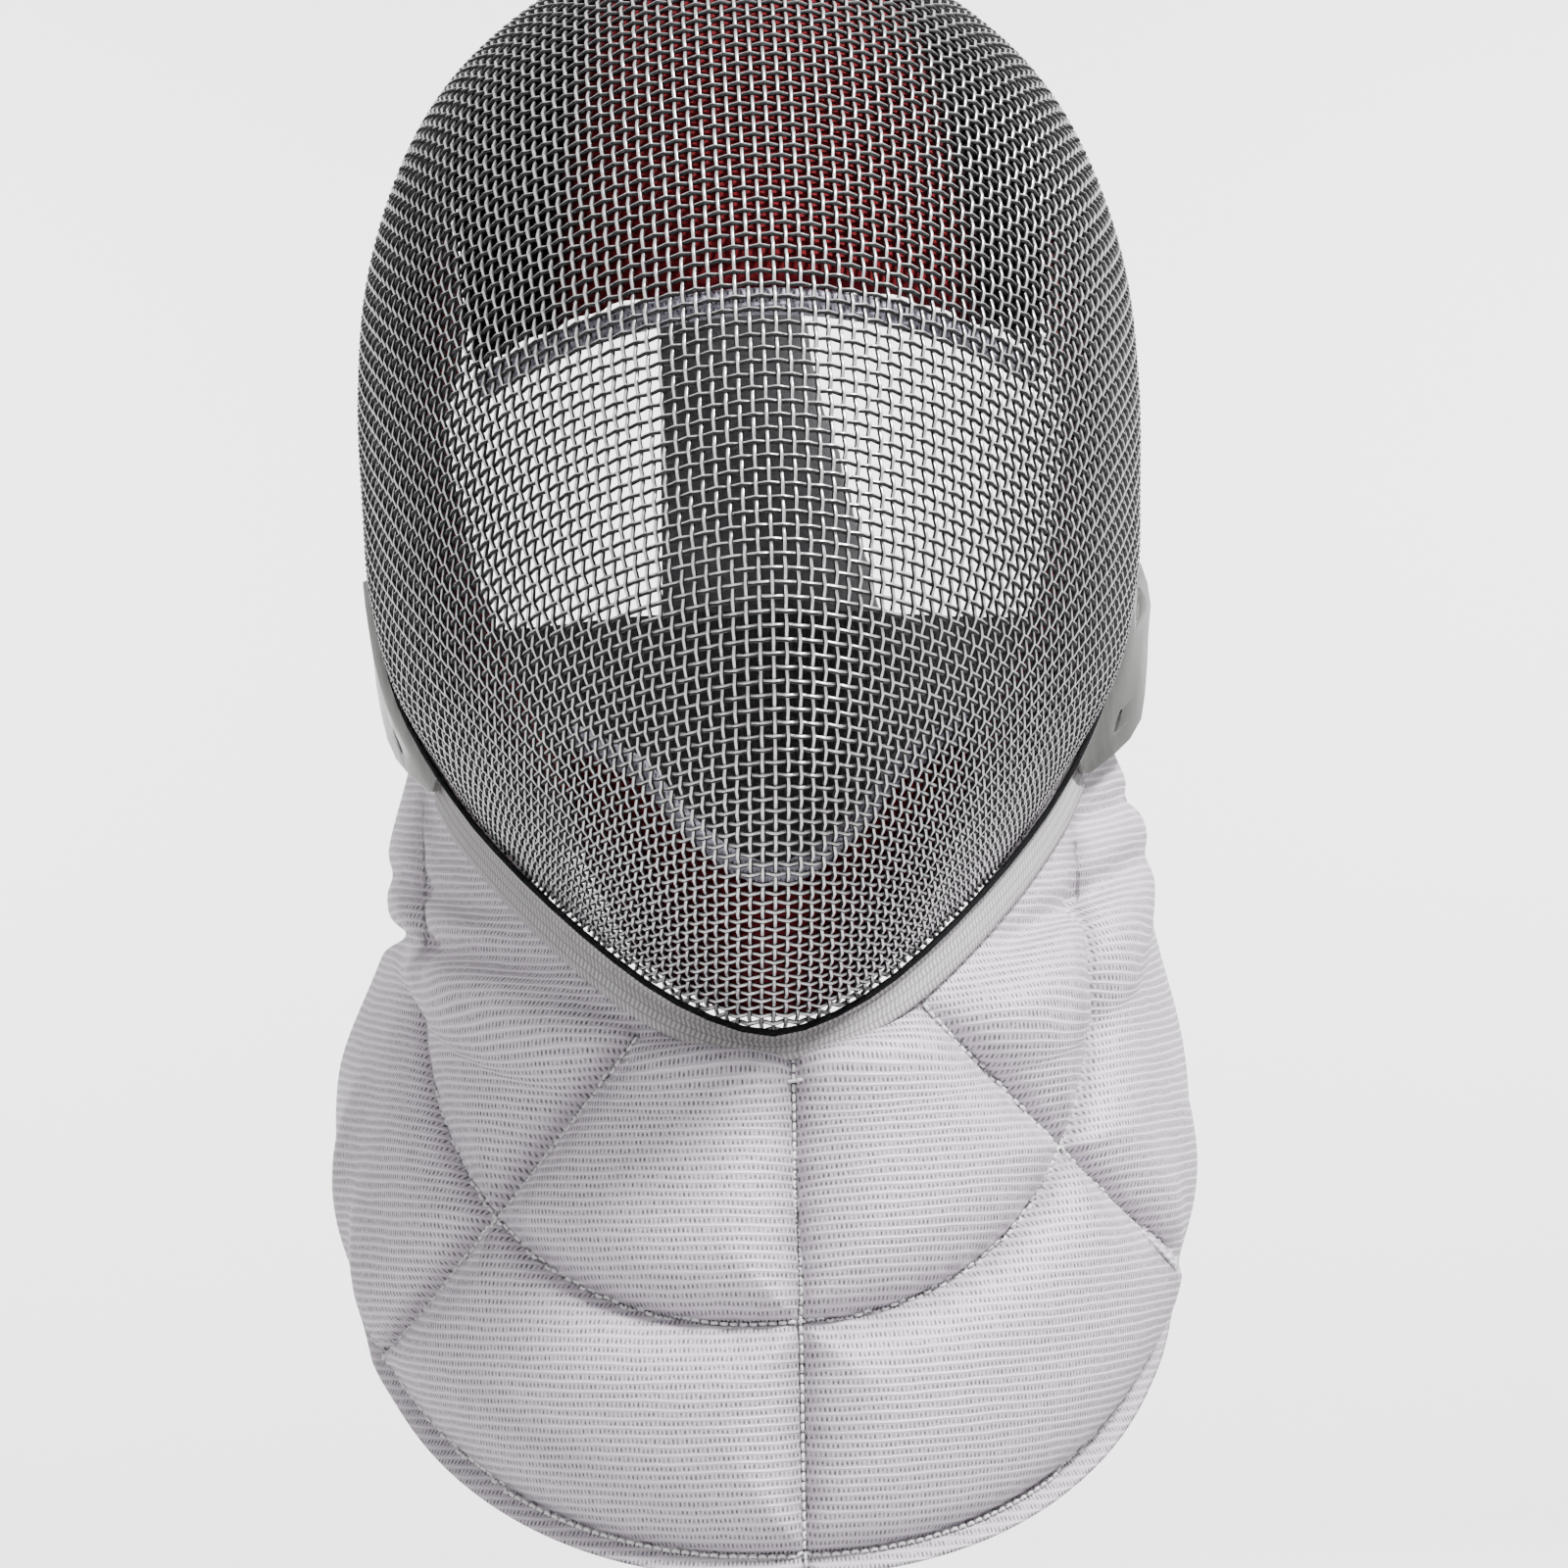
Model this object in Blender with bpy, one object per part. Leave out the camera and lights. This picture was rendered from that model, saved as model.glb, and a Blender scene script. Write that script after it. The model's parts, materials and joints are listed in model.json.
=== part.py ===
"""Sabre fencing mask: wire dome, quilted bib, linings, tongue, back strap and side clips.

The mask stands upright and faces -Y, with +X to the right of someone who looks at its face.
The origin is where the crown lining sits on the head. Sizes are in millimetres, and heights
are given as drops below the top of the dome.
"""

import functools
import math
from typing import NamedTuple

import bmesh
import bpy
from mathutils import Vector

MM = 0.001

CROWN_RISE = 13.5
WALL = 2.0
SEAT_GAP = 0.4
PAD_GAP = 1.0
CENTRE_DROP = 142.0
FACE_TILT = 8.0
FAR_OUTSIDE = 230.0
HALVINGS = 40

RIM_STEPS = 3
RINGS = 12

TAPE_END = 4.4
TAPE_LAP = 2.5
TAPE_REACH = 7.5
TAPE_THICK = 1.2
TAPE_RISES = (0.0, 0.5, 0.6, 0.9)
MIN_SPREAD = 0.45
BINDING_LEG = 7.0
BINDING_THICK = 1.0
BINDING_GAP = 0.6
PIPING_RADIUS = 0.8
PIPING_STEP_START = 3.3
PIPING_STEP_RUN = 0.6

BIB_THICK = 4.5
BIB_COLUMNS = 38
BIB_ROWS_ACROSS = 20
BIB_TOP_GAP = 1.2
BIB_SIDE_ANGLE = 90.0
BIB_SHARES = (0.0, 0.08, 0.19, 0.28, 0.62, 1.0)
BIB_RUN = 120.0
WAIST_SHARE = 0.4
WAIST_PINCH = 0.055
PUFF_HEIGHT = 1.8
PUFF_REACH = 9.0
PUFF_FULLNESS = 3.0
PUFF_START = 0.1
PUFF_FADE = 0.08
HEM_INSET = 5.0
YOKE_CENTRE = -3.0
YOKE_HALF_WIDTH = 80.5
YOKE_TOP_DROP = 250.0
YOKE_DEPTH = 83.0
YOKE_POWER = 2.4

CLIP_THICK = 1.5
CLIP_FOLD_RISE = 3.6
CLIP_FLANGE = 5.5
CLIP_FOLD_AT = -1.5
LEFT_FLARE = math.radians(3.0)
RIGHT_FLARE = math.radians(18.0)
PLATE_STEPS = 3
SLOT_LENGTH = 9.0
SLOT_WIDTH = 2.6
SLOT_SIDES = 12
SLOT_CUT = 5.0
SLOTS = ((6.15, 8.0), (4.75, 8.0))

PAD_EDGE_SHARE = 0.45
PAD_EDGE_POWER = 6
CROWN_PAD_THICK = 10.0
SIDE_PAD_THICK = 9.0
CHIN_PAD_THICK = 8.0
EDGE_TAPE_WIDTH = 6.0

STRAP_THICK = 2.2
STRAP_STEPS = 30
STRAP_ROWS = 3
TONGUE_THICK = 6.0
TONGUE_STEPS = 28
TONGUE_ACROSS = (-1.0, -0.8, -0.3, 0.3, 0.8, 1.0)
TONGUE_EDGE_THINNING = 0.55
TONGUE_END_SHARE = 0.86


class DomeSection(NamedTuple):
    """Horizontal section of the dome at one drop below its top."""

    drop: float
    half_width: float
    front: float
    back: float
    front_power: float


DOME = (
    DomeSection(0.0, 0.0, 0.0, 0.0, 2.0),
    DomeSection(6.0, 32.5, 35.0, 41.0, 2.0),
    DomeSection(16.0, 51.0, 55.5, 67.0, 2.0),
    DomeSection(34.0, 71.5, 75.5, 97.0, 1.95),
    DomeSection(54.0, 84.0, 91.0, 115.0, 1.9),
    DomeSection(82.0, 93.2, 109.5, 131.0, 1.8),
    DomeSection(111.0, 96.2, 122.3, 142.0, 1.75),
    DomeSection(140.0, 95.8, 131.5, 148.0, 1.7),
    DomeSection(160.0, 94.5, 135.0, 150.0, 1.7),
    DomeSection(184.0, 88.5, 129.4, 148.0, 1.7),
    DomeSection(210.0, 73.5, 118.0, 140.0, 1.65),
    DomeSection(236.0, 57.0, 94.5, 125.0, 1.65),
    DomeSection(266.0, 39.0, 55.0, 95.0, 1.65),
    DomeSection(280.0, 30.0, 33.0, 70.0, 1.65),
)
BACK_POWER = 2.2


class RimPoint(NamedTuple):
    """Point on the right half of the dome's rim, from the chin over the ear to the back."""

    half_width: float
    back: float
    drop: float


RIM = (
    RimPoint(0.0, -53.2, 268.0),
    RimPoint(22.0, -50.6, 261.0),
    RimPoint(43.0, -40.0, 244.0),
    RimPoint(62.0, -18.0, 223.2),
    RimPoint(75.0, 4.0, 206.5),
    RimPoint(85.0, 24.0, 188.5),
    RimPoint(92.0, 36.0, 167.5),
    RimPoint(94.5, 41.0, 145.0),
    RimPoint(95.0, 45.0, 120.0),
    RimPoint(92.0, 50.0, 92.0),
    RimPoint(84.0, 57.0, 62.0),
    RimPoint(66.0, 63.0, 39.0),
    RimPoint(37.0, 67.0, 23.0),
    RimPoint(0.0, 68.0, 16.5),
)
EAR = 6.0
EAR_BINDING_START = 6.75


class BibSection(NamedTuple):
    """One line round the bib, from the front centre to its rear edge at the side."""

    name: str
    half_width: float
    front: float
    side_back: float
    front_drop: float
    side_drop: float
    rise_power: float
    right_swell: float


BIB = (
    BibSection("bulge", 90.5, -58.5, 42.0, 276.0, 226.0, 0.95, 6.5),
    BibSection("crease", 90.0, -59.5, 42.0, 288.0, 242.0, 1.0, 6.5),
    BibSection("girth", 104.0, -67.0, 42.0, 332.0, 278.0, 1.1, 0.0),
    BibSection("hem", 105.0, -71.0, 40.0, 391.0, 312.0, 1.15, -2.0),
)


class SeamLine(NamedTuple):
    """Straight quilting seam on the bib as seen from the front."""

    name: str
    top_x: float
    top_drop: float
    bottom_x: float
    bottom_drop: float


SEAMS = (
    SeamLine("centre", 4.3, 268.0, 3.6, 396.0),
    SeamLine("left_diagonal", -32.0, 266.5, -96.0, 346.0),
    SeamLine("right_diagonal", 35.5, 261.0, 99.5, 331.0),
)


class Fold(NamedTuple):
    """Upright soft fold at the side of the bib."""

    angle: float
    width: float
    height: float
    top_drop: float
    bottom_drop: float


FOLDS = (
    Fold(-64.0, 5.0, 2.2, 290.0, 360.0),
    Fold(-78.0, 5.0, 1.6, 270.0, 345.0),
    Fold(62.0, 6.0, 1.8, 300.0, 355.0),
    Fold(77.0, 5.0, 1.4, 275.0, 340.0),
)


class ClipRow(NamedTuple):
    """Row across the side clip: its place on the rim, the plate's reach and its extra flare."""

    rim_place: float
    reach: float
    twist: float


CLIP = (
    ClipRow(6.62, 9.0, 0.0),
    ClipRow(6.40, 19.0, 0.0),
    ClipRow(6.15, 25.0, 0.0),
    ClipRow(5.80, 25.0, 0.0),
    ClipRow(5.45, 25.0, 2.0),
    ClipRow(5.10, 25.0, 5.0),
    ClipRow(4.78, 25.0, 8.0),
    ClipRow(4.50, 19.0, 12.0),
    ClipRow(4.24, 10.5, 16.0),
    ClipRow(4.02, 3.0, 18.0),
)


class StrapPoint(NamedTuple):
    """Point on the right half of the back strap, from the middle of the back to the clip."""

    half_width: float
    back: float
    top_drop: float
    bottom_drop: float


STRAP = (
    StrapPoint(0.0, 117.0, 160.5, 229.5),
    StrapPoint(30.0, 115.0, 161.5, 228.0),
    StrapPoint(58.0, 108.0, 164.0, 221.0),
    StrapPoint(80.0, 93.0, 165.0, 204.0),
    StrapPoint(92.0, 75.0, 163.0, 189.0),
    StrapPoint(93.5, 57.0, 160.0, 186.0),
)


class TonguePoint(NamedTuple):
    """Point along the middle of the tongue, from the crown down to the back strap."""

    back: float
    drop: float
    half_width: float
    lean: float


TONGUE = (
    TonguePoint(24.0, 9.2, 15.0, 0.0),
    TonguePoint(44.0, 13.8, 18.0, 0.0),
    TonguePoint(68.0, 26.0, 20.0, 0.0),
    TonguePoint(94.0, 43.0, 20.5, -1.0),
    TonguePoint(111.0, 66.0, 20.5, -1.5),
    TonguePoint(119.0, 95.0, 22.0, 1.0),
    TonguePoint(121.6, 128.0, 27.0, 4.5),
    TonguePoint(121.8, 160.0, 31.0, 8.0),
    TonguePoint(121.8, 185.0, 30.0, 8.0),
)


class PadEdge(NamedTuple):
    """Limits of a lining pad at one height angle, as angles seen from the dome's centre."""

    height_angle: float
    inner_angle: float
    outer_angle: float


CROWN_PAD = (
    PadEdge(22.0, -40.0, 40.0),
    PadEdge(45.0, -40.0, 40.0),
    PadEdge(70.0, -37.0, 37.0),
    PadEdge(96.0, -30.0, 30.0),
)
CHIN_PAD = (
    PadEdge(-66.2, -16.0, 16.0),
    PadEdge(-54.0, -23.5, 23.5),
    PadEdge(-43.0, -25.0, 25.0),
    PadEdge(-34.0, -25.0, 25.0),
)
CHIN_NOTCH = 10.0
CHIN_NOTCH_ANGLE = 15.0
SIDE_PAD = (
    PadEdge(-39.0, 33.5, 78.0),
    PadEdge(-28.0, 36.0, 88.0),
    PadEdge(-12.0, 42.0, 96.0),
    PadEdge(2.0, 48.0, 98.0),
    PadEdge(12.0, 52.0, 98.0),
    PadEdge(20.0, 45.5, 97.0),
    PadEdge(28.0, 49.2, 95.0),
    PadEdge(36.0, 54.5, 93.0),
    PadEdge(47.0, 65.5, 90.0),
)


class Finish(NamedTuple):
    """Plain colour of a sub-part."""

    name: str
    colour: tuple
    roughness: float
    metallic: float


STEEL_WIRE = Finish("steel_wire", (0.62, 0.60, 0.62), 0.30, 1.0)
STEEL_PLATE = Finish("steel_plate", (0.66, 0.65, 0.64), 0.32, 1.0)
SILVER_CLOTH = Finish("silver_cloth", (0.56, 0.53, 0.58), 0.55, 0.3)
SILVER_TAPE = Finish("silver_tape", (0.46, 0.45, 0.49), 0.55, 0.3)
RED_LINING = Finish("red_lining", (0.42, 0.02, 0.03), 0.85, 0.0)
BLACK_TRIM = Finish("black_trim", (0.012, 0.012, 0.014), 0.7, 0.0)
BLACK_WEBBING = Finish("black_webbing", (0.016, 0.016, 0.018), 0.85, 0.0)
GREY_LINING = Finish("grey_lining", (0.22, 0.22, 0.24), 0.8, 0.0)


def remove_start_objects():
    """Empty the scene."""
    for obj in list(bpy.data.objects):
        bpy.data.objects.remove(obj, do_unlink=True)


def material(finish):
    """Return the plain material of a finish, made once."""
    found = bpy.data.materials.get(finish.name)
    if found:
        return found
    made = bpy.data.materials.new(finish.name)
    made.use_nodes = True
    shader = made.node_tree.nodes["Principled BSDF"]
    shader.inputs["Base Color"].default_value = (*finish.colour, 1.0)
    shader.inputs["Roughness"].default_value = finish.roughness
    shader.inputs["Metallic"].default_value = finish.metallic
    made.diffuse_color = (*finish.colour, 1.0)
    return made


def height(drop):
    """Turn a drop below the dome's top into a height over the head seat."""
    return CROWN_RISE - drop


def drop_of(z):
    """Turn a height over the head seat into a drop below the dome's top."""
    return CROWN_RISE - z


def smooth_read(knots, values, at):
    """Read a smooth curve through values at rising knots."""
    last = len(knots) - 1
    at = min(max(at, knots[0]), knots[last])
    i = 0
    while i < last - 1 and at > knots[i + 1]:
        i += 1

    def slope(k):
        low = max(k - 1, 0)
        high = min(k + 1, last)
        return (values[high] - values[low]) / (knots[high] - knots[low])

    span = knots[i + 1] - knots[i]
    t = (at - knots[i]) / span
    rise = values[i + 1] - values[i]
    bend_in = slope(i) * span - rise
    bend_out = rise - slope(i + 1) * span
    return values[i] + rise * t + t * (1.0 - t) * (bend_in * (1.0 - t) + bend_out * t)


DOME_KNOTS = [math.sqrt(row.drop) for row in DOME]
DOME_COLUMNS = {
    name: [getattr(row, name) for row in DOME]
    for name in ("half_width", "front", "back", "front_power")
}


def dome_excess(p):
    """Tell how far a point is outside the dome: below zero inside, zero on its surface."""
    knot = math.sqrt(max(drop_of(p.z), 0.0))
    if knot <= 0.0 or knot >= DOME_KNOTS[-1]:
        return 1.0
    wide = smooth_read(DOME_KNOTS, DOME_COLUMNS["half_width"], knot)
    if p.y < 0.0:
        deep = smooth_read(DOME_KNOTS, DOME_COLUMNS["front"], knot)
        power = smooth_read(DOME_KNOTS, DOME_COLUMNS["front_power"], knot)
    else:
        deep = smooth_read(DOME_KNOTS, DOME_COLUMNS["back"], knot)
        power = BACK_POWER
    return (abs(p.x) / wide) ** power + (abs(p.y) / deep) ** power - 1.0


DOME_CENTRE = Vector((0.0, 0.0, height(CENTRE_DROP)))


def dome_point(direction):
    """Find where a ray from the dome's centre meets its outer surface."""
    ray = direction.normalized()
    near = 0.0
    far = FAR_OUTSIDE
    for _ in range(HALVINGS):
        middle = 0.5 * (near + far)
        if dome_excess(DOME_CENTRE + ray * middle) > 0.0:
            far = middle
        else:
            near = middle
    return DOME_CENTRE + ray * near


def dome_normal(p):
    """Return the outward normal of the dome at a point of its surface."""
    step = 0.6
    gradient = []
    for axis in range(3):
        offset = Vector((0.0, 0.0, 0.0))
        offset[axis] = step
        gradient.append(dome_excess(p + offset) - dome_excess(p - offset))
    if abs(p.x) < step:
        gradient[0] = 0.0
    return Vector(gradient).normalized()


RIM_KNOTS = list(range(len(RIM)))


@functools.lru_cache(maxsize=None)
def rim_point(place):
    """Return the rim's point at a place: 0 at the chin, plus to the right, minus to the left."""
    at = abs(place)
    side = math.copysign(1.0, place)
    x = smooth_read(RIM_KNOTS, [row.half_width for row in RIM], at)
    y = smooth_read(RIM_KNOTS, [row.back for row in RIM], at)
    drop = smooth_read(RIM_KNOTS, [row.drop for row in RIM], at)
    on_rim = dome_point(Vector((x, y, height(drop))) - DOME_CENTRE)
    return Vector((on_rim.x * side, on_rim.y, on_rim.z))


class RimFrame(NamedTuple):
    """Rim point with the direction off the dome's edge and the outward normal."""

    point: Vector
    off_edge: Vector
    outward: Vector


@functools.lru_cache(maxsize=None)
def rim_frame(place):
    """Return the rim's local frame, with off_edge pointing away from the wire."""
    step = 0.05
    point = rim_point(place)
    outward = dome_normal(point)
    ends = len(RIM) - 1
    if abs(place) < 1e-6 or abs(abs(place) - ends) < 1e-6:
        along = Vector((1.0, 0.0, 0.0))
    else:
        reach = min(abs(place) + step, ends) * math.copysign(1.0, place)
        along = (rim_point(reach) - rim_point(place - math.copysign(step, place))).normalized()
    off_edge = along.cross(outward).normalized()
    if off_edge.dot(point - DOME_CENTRE - Vector((0.0, -60.0, 0.0))) < 0.0:
        off_edge.negate()
    return RimFrame(point, off_edge, outward)


def add_object(name, bm, finish, smooth_angle=40.0):
    """Make a named object from a mesh in millimetres."""
    bmesh.ops.recalc_face_normals(bm, faces=bm.faces)
    bmesh.ops.scale(bm, vec=(MM, MM, MM), verts=bm.verts)
    mesh = bpy.data.meshes.new(name)
    bm.to_mesh(mesh)
    bm.free()
    mesh.shade_smooth()
    mesh.set_sharp_from_angle(angle=math.radians(smooth_angle))
    mesh.materials.append(material(finish))
    obj = bpy.data.objects.new(name, mesh)
    bpy.context.collection.objects.link(obj)
    return obj


def straight_section(frame, off, out):
    """Place an outline point on the flat that touches the surface at a frame."""
    return frame.point + frame.off_edge * off + frame.outward * out


def wrapped_section(frame, off, out):
    """Place an outline point so that it follows the dome's curve on the wire side."""
    if off >= 0.0:
        return straight_section(frame, off, out)
    on_dome = dome_point(frame.point + frame.off_edge * off - DOME_CENTRE)
    return on_dome + dome_normal(on_dome) * out


def sweep(name, frames, profiles, finish, place=straight_section):
    """Sweep closed outlines of (off the edge, outward) points along frames."""
    bm = bmesh.new()
    rings = []
    for frame, profile in zip(frames, profiles):
        rings.append([bm.verts.new(place(frame, off, out)) for off, out in profile])
    for first, second in zip(rings, rings[1:]):
        for i in range(len(first)):
            j = (i + 1) % len(first)
            bm.faces.new((first[i], first[j], second[j], second[i]))
    bm.faces.new(rings[0])
    bm.faces.new(rings[-1])
    return add_object(name, bm, finish)


def slab(name, outer, inner, finish, smooth_angle=40.0):
    """Close two matching grids of points into one solid."""
    bm = bmesh.new()
    grids = [[[bm.verts.new(p) for p in row] for row in grid] for grid in (outer, inner)]
    rows = len(outer)
    columns = len(outer[0])
    for grid in grids:
        for i in range(rows - 1):
            for j in range(columns - 1):
                bm.faces.new((grid[i][j], grid[i + 1][j], grid[i + 1][j + 1], grid[i][j + 1]))
    border = [(0, j) for j in range(columns - 1)]
    border += [(i, columns - 1) for i in range(rows - 1)]
    border += [(rows - 1, j) for j in range(columns - 1, 0, -1)]
    border += [(i, 0) for i in range(rows - 1, 0, -1)]
    top, under = grids
    for k, (i, j) in enumerate(border):
        m, n = border[(k + 1) % len(border)]
        bm.faces.new((top[i][j], top[m][n], under[m][n], under[i][j]))
    return add_object(name, bm, finish, smooth_angle)


def build_wire_dome():
    """Build the dome as one thin wall between the rim and the middle of the face."""
    bm = bmesh.new()
    tilt = math.radians(FACE_TILT)
    pole = Vector((0.0, -math.cos(tilt), math.sin(tilt)))
    half = (len(RIM) - 1) * RIM_STEPS
    places = [i / RIM_STEPS for i in range(half + 1)]
    places += [-i / RIM_STEPS for i in range(half - 1, 0, -1)]
    rims = [(rim_point(place) - DOME_CENTRE).normalized() for place in places]
    rings = []
    for k in range(RINGS):
        share = k / RINGS
        ring = [bm.verts.new(dome_point(ray.slerp(pole, share))) for ray in rims]
        rings.append(ring)
    middle = bm.verts.new(dome_point(pole))
    count = len(rims)
    for low, high in zip(rings, rings[1:]):
        for i in range(count):
            j = (i + 1) % count
            bm.faces.new((low[i], low[j], high[j], high[i]))
    for i in range(count):
        bm.faces.new((rings[-1][i], rings[-1][(i + 1) % count], middle))
    dome = add_object("wire_dome", bm, STEEL_WIRE)
    wall = dome.modifiers.new("wall", "SOLIDIFY")
    wall.thickness = WALL * MM
    wall.offset = -1.0
    wall.use_even_offset = True
    return dome


def bib_line(section, angle):
    """Return the point of one bib section at an angle round the neck."""
    turn = math.radians(angle)
    rise = max(1.0 - math.cos(turn), 0.0) ** section.rise_power
    drop = section.front_drop + (section.side_drop - section.front_drop) * rise
    back = section.side_back + (section.front - section.side_back) * math.cos(turn)
    swell = section.right_swell * max(math.sin(turn), 0.0) ** 2
    return Vector((section.half_width * math.sin(turn) + swell, back, height(drop)))


def bib_base(angle, share):
    """Return the bib's smooth outer surface: share 0 at the dome's rim, 1 at the hem."""
    turn = math.radians(angle)
    top = rim_point(angle / BIB_SIDE_ANGLE * EAR)
    lines = [bib_line(section, angle) for section in BIB]
    waist = top.lerp(lines[0], WAIST_SHARE)
    waist.x *= 1.0 - WAIST_PINCH * (1.0 - math.cos(turn))
    points = [top, waist, *lines]
    return Vector([smooth_read(BIB_SHARES, [p[axis] for p in points], share) for axis in range(3)])


def bib_normal(angle, share):
    """Return the outward normal of the smooth bib."""
    turn_step = 0.8
    share_step = 0.01
    low = min(max(share - share_step, 0.0), 1.0 - 2.0 * share_step)
    across = bib_base(angle + turn_step, share) - bib_base(angle - turn_step, share)
    down = bib_base(angle, low + 2.0 * share_step) - bib_base(angle, low)
    return down.cross(across).normalized()


def seam_distance(p):
    """Return how far a bib point is from the nearest quilting seam, seen from the front."""
    drop = drop_of(p.z)
    nearest = PUFF_REACH * 2.0
    for seam in SEAMS:
        run = Vector((seam.bottom_x - seam.top_x, seam.bottom_drop - seam.top_drop))
        to_point = Vector((p.x - seam.top_x, drop - seam.top_drop))
        share = min(max(to_point.dot(run) / run.length_squared, 0.0), 1.0)
        nearest = min(nearest, (to_point - run * share).length)
    across = min(abs(p.x - YOKE_CENTRE) / YOKE_HALF_WIDTH, 1.0)
    along = max((drop - YOKE_TOP_DROP) / YOKE_DEPTH, 0.0)
    level = (across ** YOKE_POWER + along ** YOKE_POWER) ** (1.0 / YOKE_POWER)
    yoke = abs(level - 1.0) * min(YOKE_HALF_WIDTH, YOKE_DEPTH)
    return min(nearest, yoke)


def bib_relief(angle, share, p):
    """Return how far the padded panels and folds stand off the smooth bib."""
    drop = drop_of(p.z)
    to_hem_seam = abs((1.0 - share) * BIB_RUN - HEM_INSET)
    gap = min(seam_distance(p), to_hem_seam)
    relief = PUFF_HEIGHT * (1.0 - math.exp(-PUFF_FULLNESS * (gap / PUFF_REACH) ** 2))
    for fold in FOLDS:
        side = math.exp(-(((angle - fold.angle) / fold.width) ** 2))
        length = fold.bottom_drop - fold.top_drop
        place = (drop - fold.top_drop) / length
        if 0.0 < place < 1.0:
            relief += fold.height * side * math.sin(math.pi * place) ** 2
    return relief * min(max((share - PUFF_START) / PUFF_FADE, 0.0), 1.0)


def build_bib():
    """Build the padded bib as one thick curved wall round the throat."""
    outer = []
    inner = []
    for i in range(BIB_ROWS_ACROSS + 1):
        row_out = []
        row_in = []
        for j in range(BIB_COLUMNS + 1):
            angle = BIB_SIDE_ANGLE * (2.0 * j / BIB_COLUMNS - 1.0)
            length = (bib_base(angle, 1.0) - bib_base(angle, 0.0)).length
            start = BIB_TOP_GAP / length
            share = start + (1.0 - start) * i / BIB_ROWS_ACROSS
            point = bib_base(angle, share)
            normal = bib_normal(angle, share)
            relief = bib_relief(angle, share, point)
            row_out.append(point + normal * relief)
            row_in.append(point - normal * BIB_THICK)
        outer.append(row_out)
        inner.append(row_in)
    return slab("bib", outer, inner, SILVER_CLOTH, 70.0)


def rim_angle(place):
    """Turn a place on the lower rim into the bib's angle."""
    return place / EAR * BIB_SIDE_ANGLE


def bib_below_rim(place, reach):
    """Return the smooth bib's point a given way off the rim, and its normal."""
    angle = rim_angle(place)
    frame = rim_frame(place)
    step = 0.5 * BIB_SHARES[1]
    down = bib_base(angle, step) - frame.point
    along = frame.off_edge.cross(frame.outward)
    spread = max(down.cross(along).length / down.length, MIN_SPREAD)
    share = step * reach / (spread * down.length)
    return bib_base(angle, share), bib_normal(angle, share)


def build_rim_tape():
    """Build the cloth tape that joins the dome's lower rim to the bib."""
    outer = []
    inner = []
    steps = int(TAPE_END * RIM_STEPS)
    for i in range(-steps, steps + 1):
        place = i / RIM_STEPS
        frame = rim_frame(place)
        on_dome = dome_point(frame.point - frame.off_edge * TAPE_LAP - DOME_CENTRE)
        spots = [(on_dome, dome_normal(on_dome))]
        for reach in (0.5 * TAPE_REACH, TAPE_REACH):
            spots.append(bib_below_rim(place, reach))
        rim_out = (frame.outward + spots[1][1]).normalized()
        spots.insert(1, (frame.point, rim_out))
        clear = [SEAT_GAP + rise for rise in TAPE_RISES]
        inner.append([p + n * gap for (p, n), gap in zip(spots, clear)])
        outer.append([p + n * (gap + TAPE_THICK) for (p, n), gap in zip(spots, clear)])
    return slab("rim_tape", outer, inner, SILVER_TAPE, 60.0)


def build_rim_binding():
    """Build the folded tape that covers the dome's rim from ear to ear over the top."""
    first = math.ceil(EAR_BINDING_START * RIM_STEPS)
    last = (len(RIM) - 1) * RIM_STEPS
    right = [EAR_BINDING_START] + [i / RIM_STEPS for i in range(first, last + 1)]
    left = [-place for place in reversed(right[:-1])]
    low = BINDING_GAP
    top = BINDING_GAP + BINDING_THICK
    profile = [
        (-BINDING_LEG, low),
        (-BINDING_LEG, top),
        (top, top),
        (top, -WALL - top),
        (-BINDING_LEG, -WALL - top),
        (-BINDING_LEG, -WALL - low),
        (low, -WALL - low),
        (low, low),
    ]
    frames = [rim_frame(place) for place in right + left]
    return sweep("rim_binding", frames, [profile] * len(frames), SILVER_TAPE, wrapped_section)


def build_edge_piping():
    """Build the thin black bead between the wire and the tape on the lower rim."""
    steps = int(EAR * RIM_STEPS)
    frames = []
    profiles = []
    for i in range(-steps, steps + 1):
        place = i / RIM_STEPS
        frames.append(rim_frame(place))
        under_clip = min(max((abs(place) - PIPING_STEP_START) / PIPING_STEP_RUN, 0.0), 1.0)
        edge = TAPE_LAP + (CLIP_FLANGE - TAPE_LAP) * under_clip
        middle = -edge - PIPING_RADIUS - SEAT_GAP
        turns = [math.radians(60.0 * k) for k in range(6)]
        profiles.append([
            (middle + PIPING_RADIUS * math.cos(turn), SEAT_GAP + PIPING_RADIUS * (1.0 + math.sin(turn)))
            for turn in turns
        ])
    return sweep("edge_piping", frames, profiles, BLACK_TRIM, wrapped_section)


def clip_point(side, place, back, out):
    """Return a clip point: back from the fold along the flared plate, out through its sheet."""
    frame = rim_frame(side * place)
    fold = frame.point + frame.off_edge * CLIP_FOLD_AT + frame.outward * CLIP_FOLD_RISE
    rearward = Vector((0.0, 1.0, 0.0))
    sideways = Vector((side, 0.0, 0.0))
    knots = [-row.rim_place for row in CLIP]
    twist = smooth_read(knots, [row.twist for row in CLIP], -place)
    flare = math.radians(twist) + (RIGHT_FLARE if side > 0.0 else LEFT_FLARE)
    run = rearward * math.cos(flare) + sideways * math.sin(flare)
    face = sideways * math.cos(flare) - rearward * math.sin(flare)
    return fold + run * back + face * out


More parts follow.
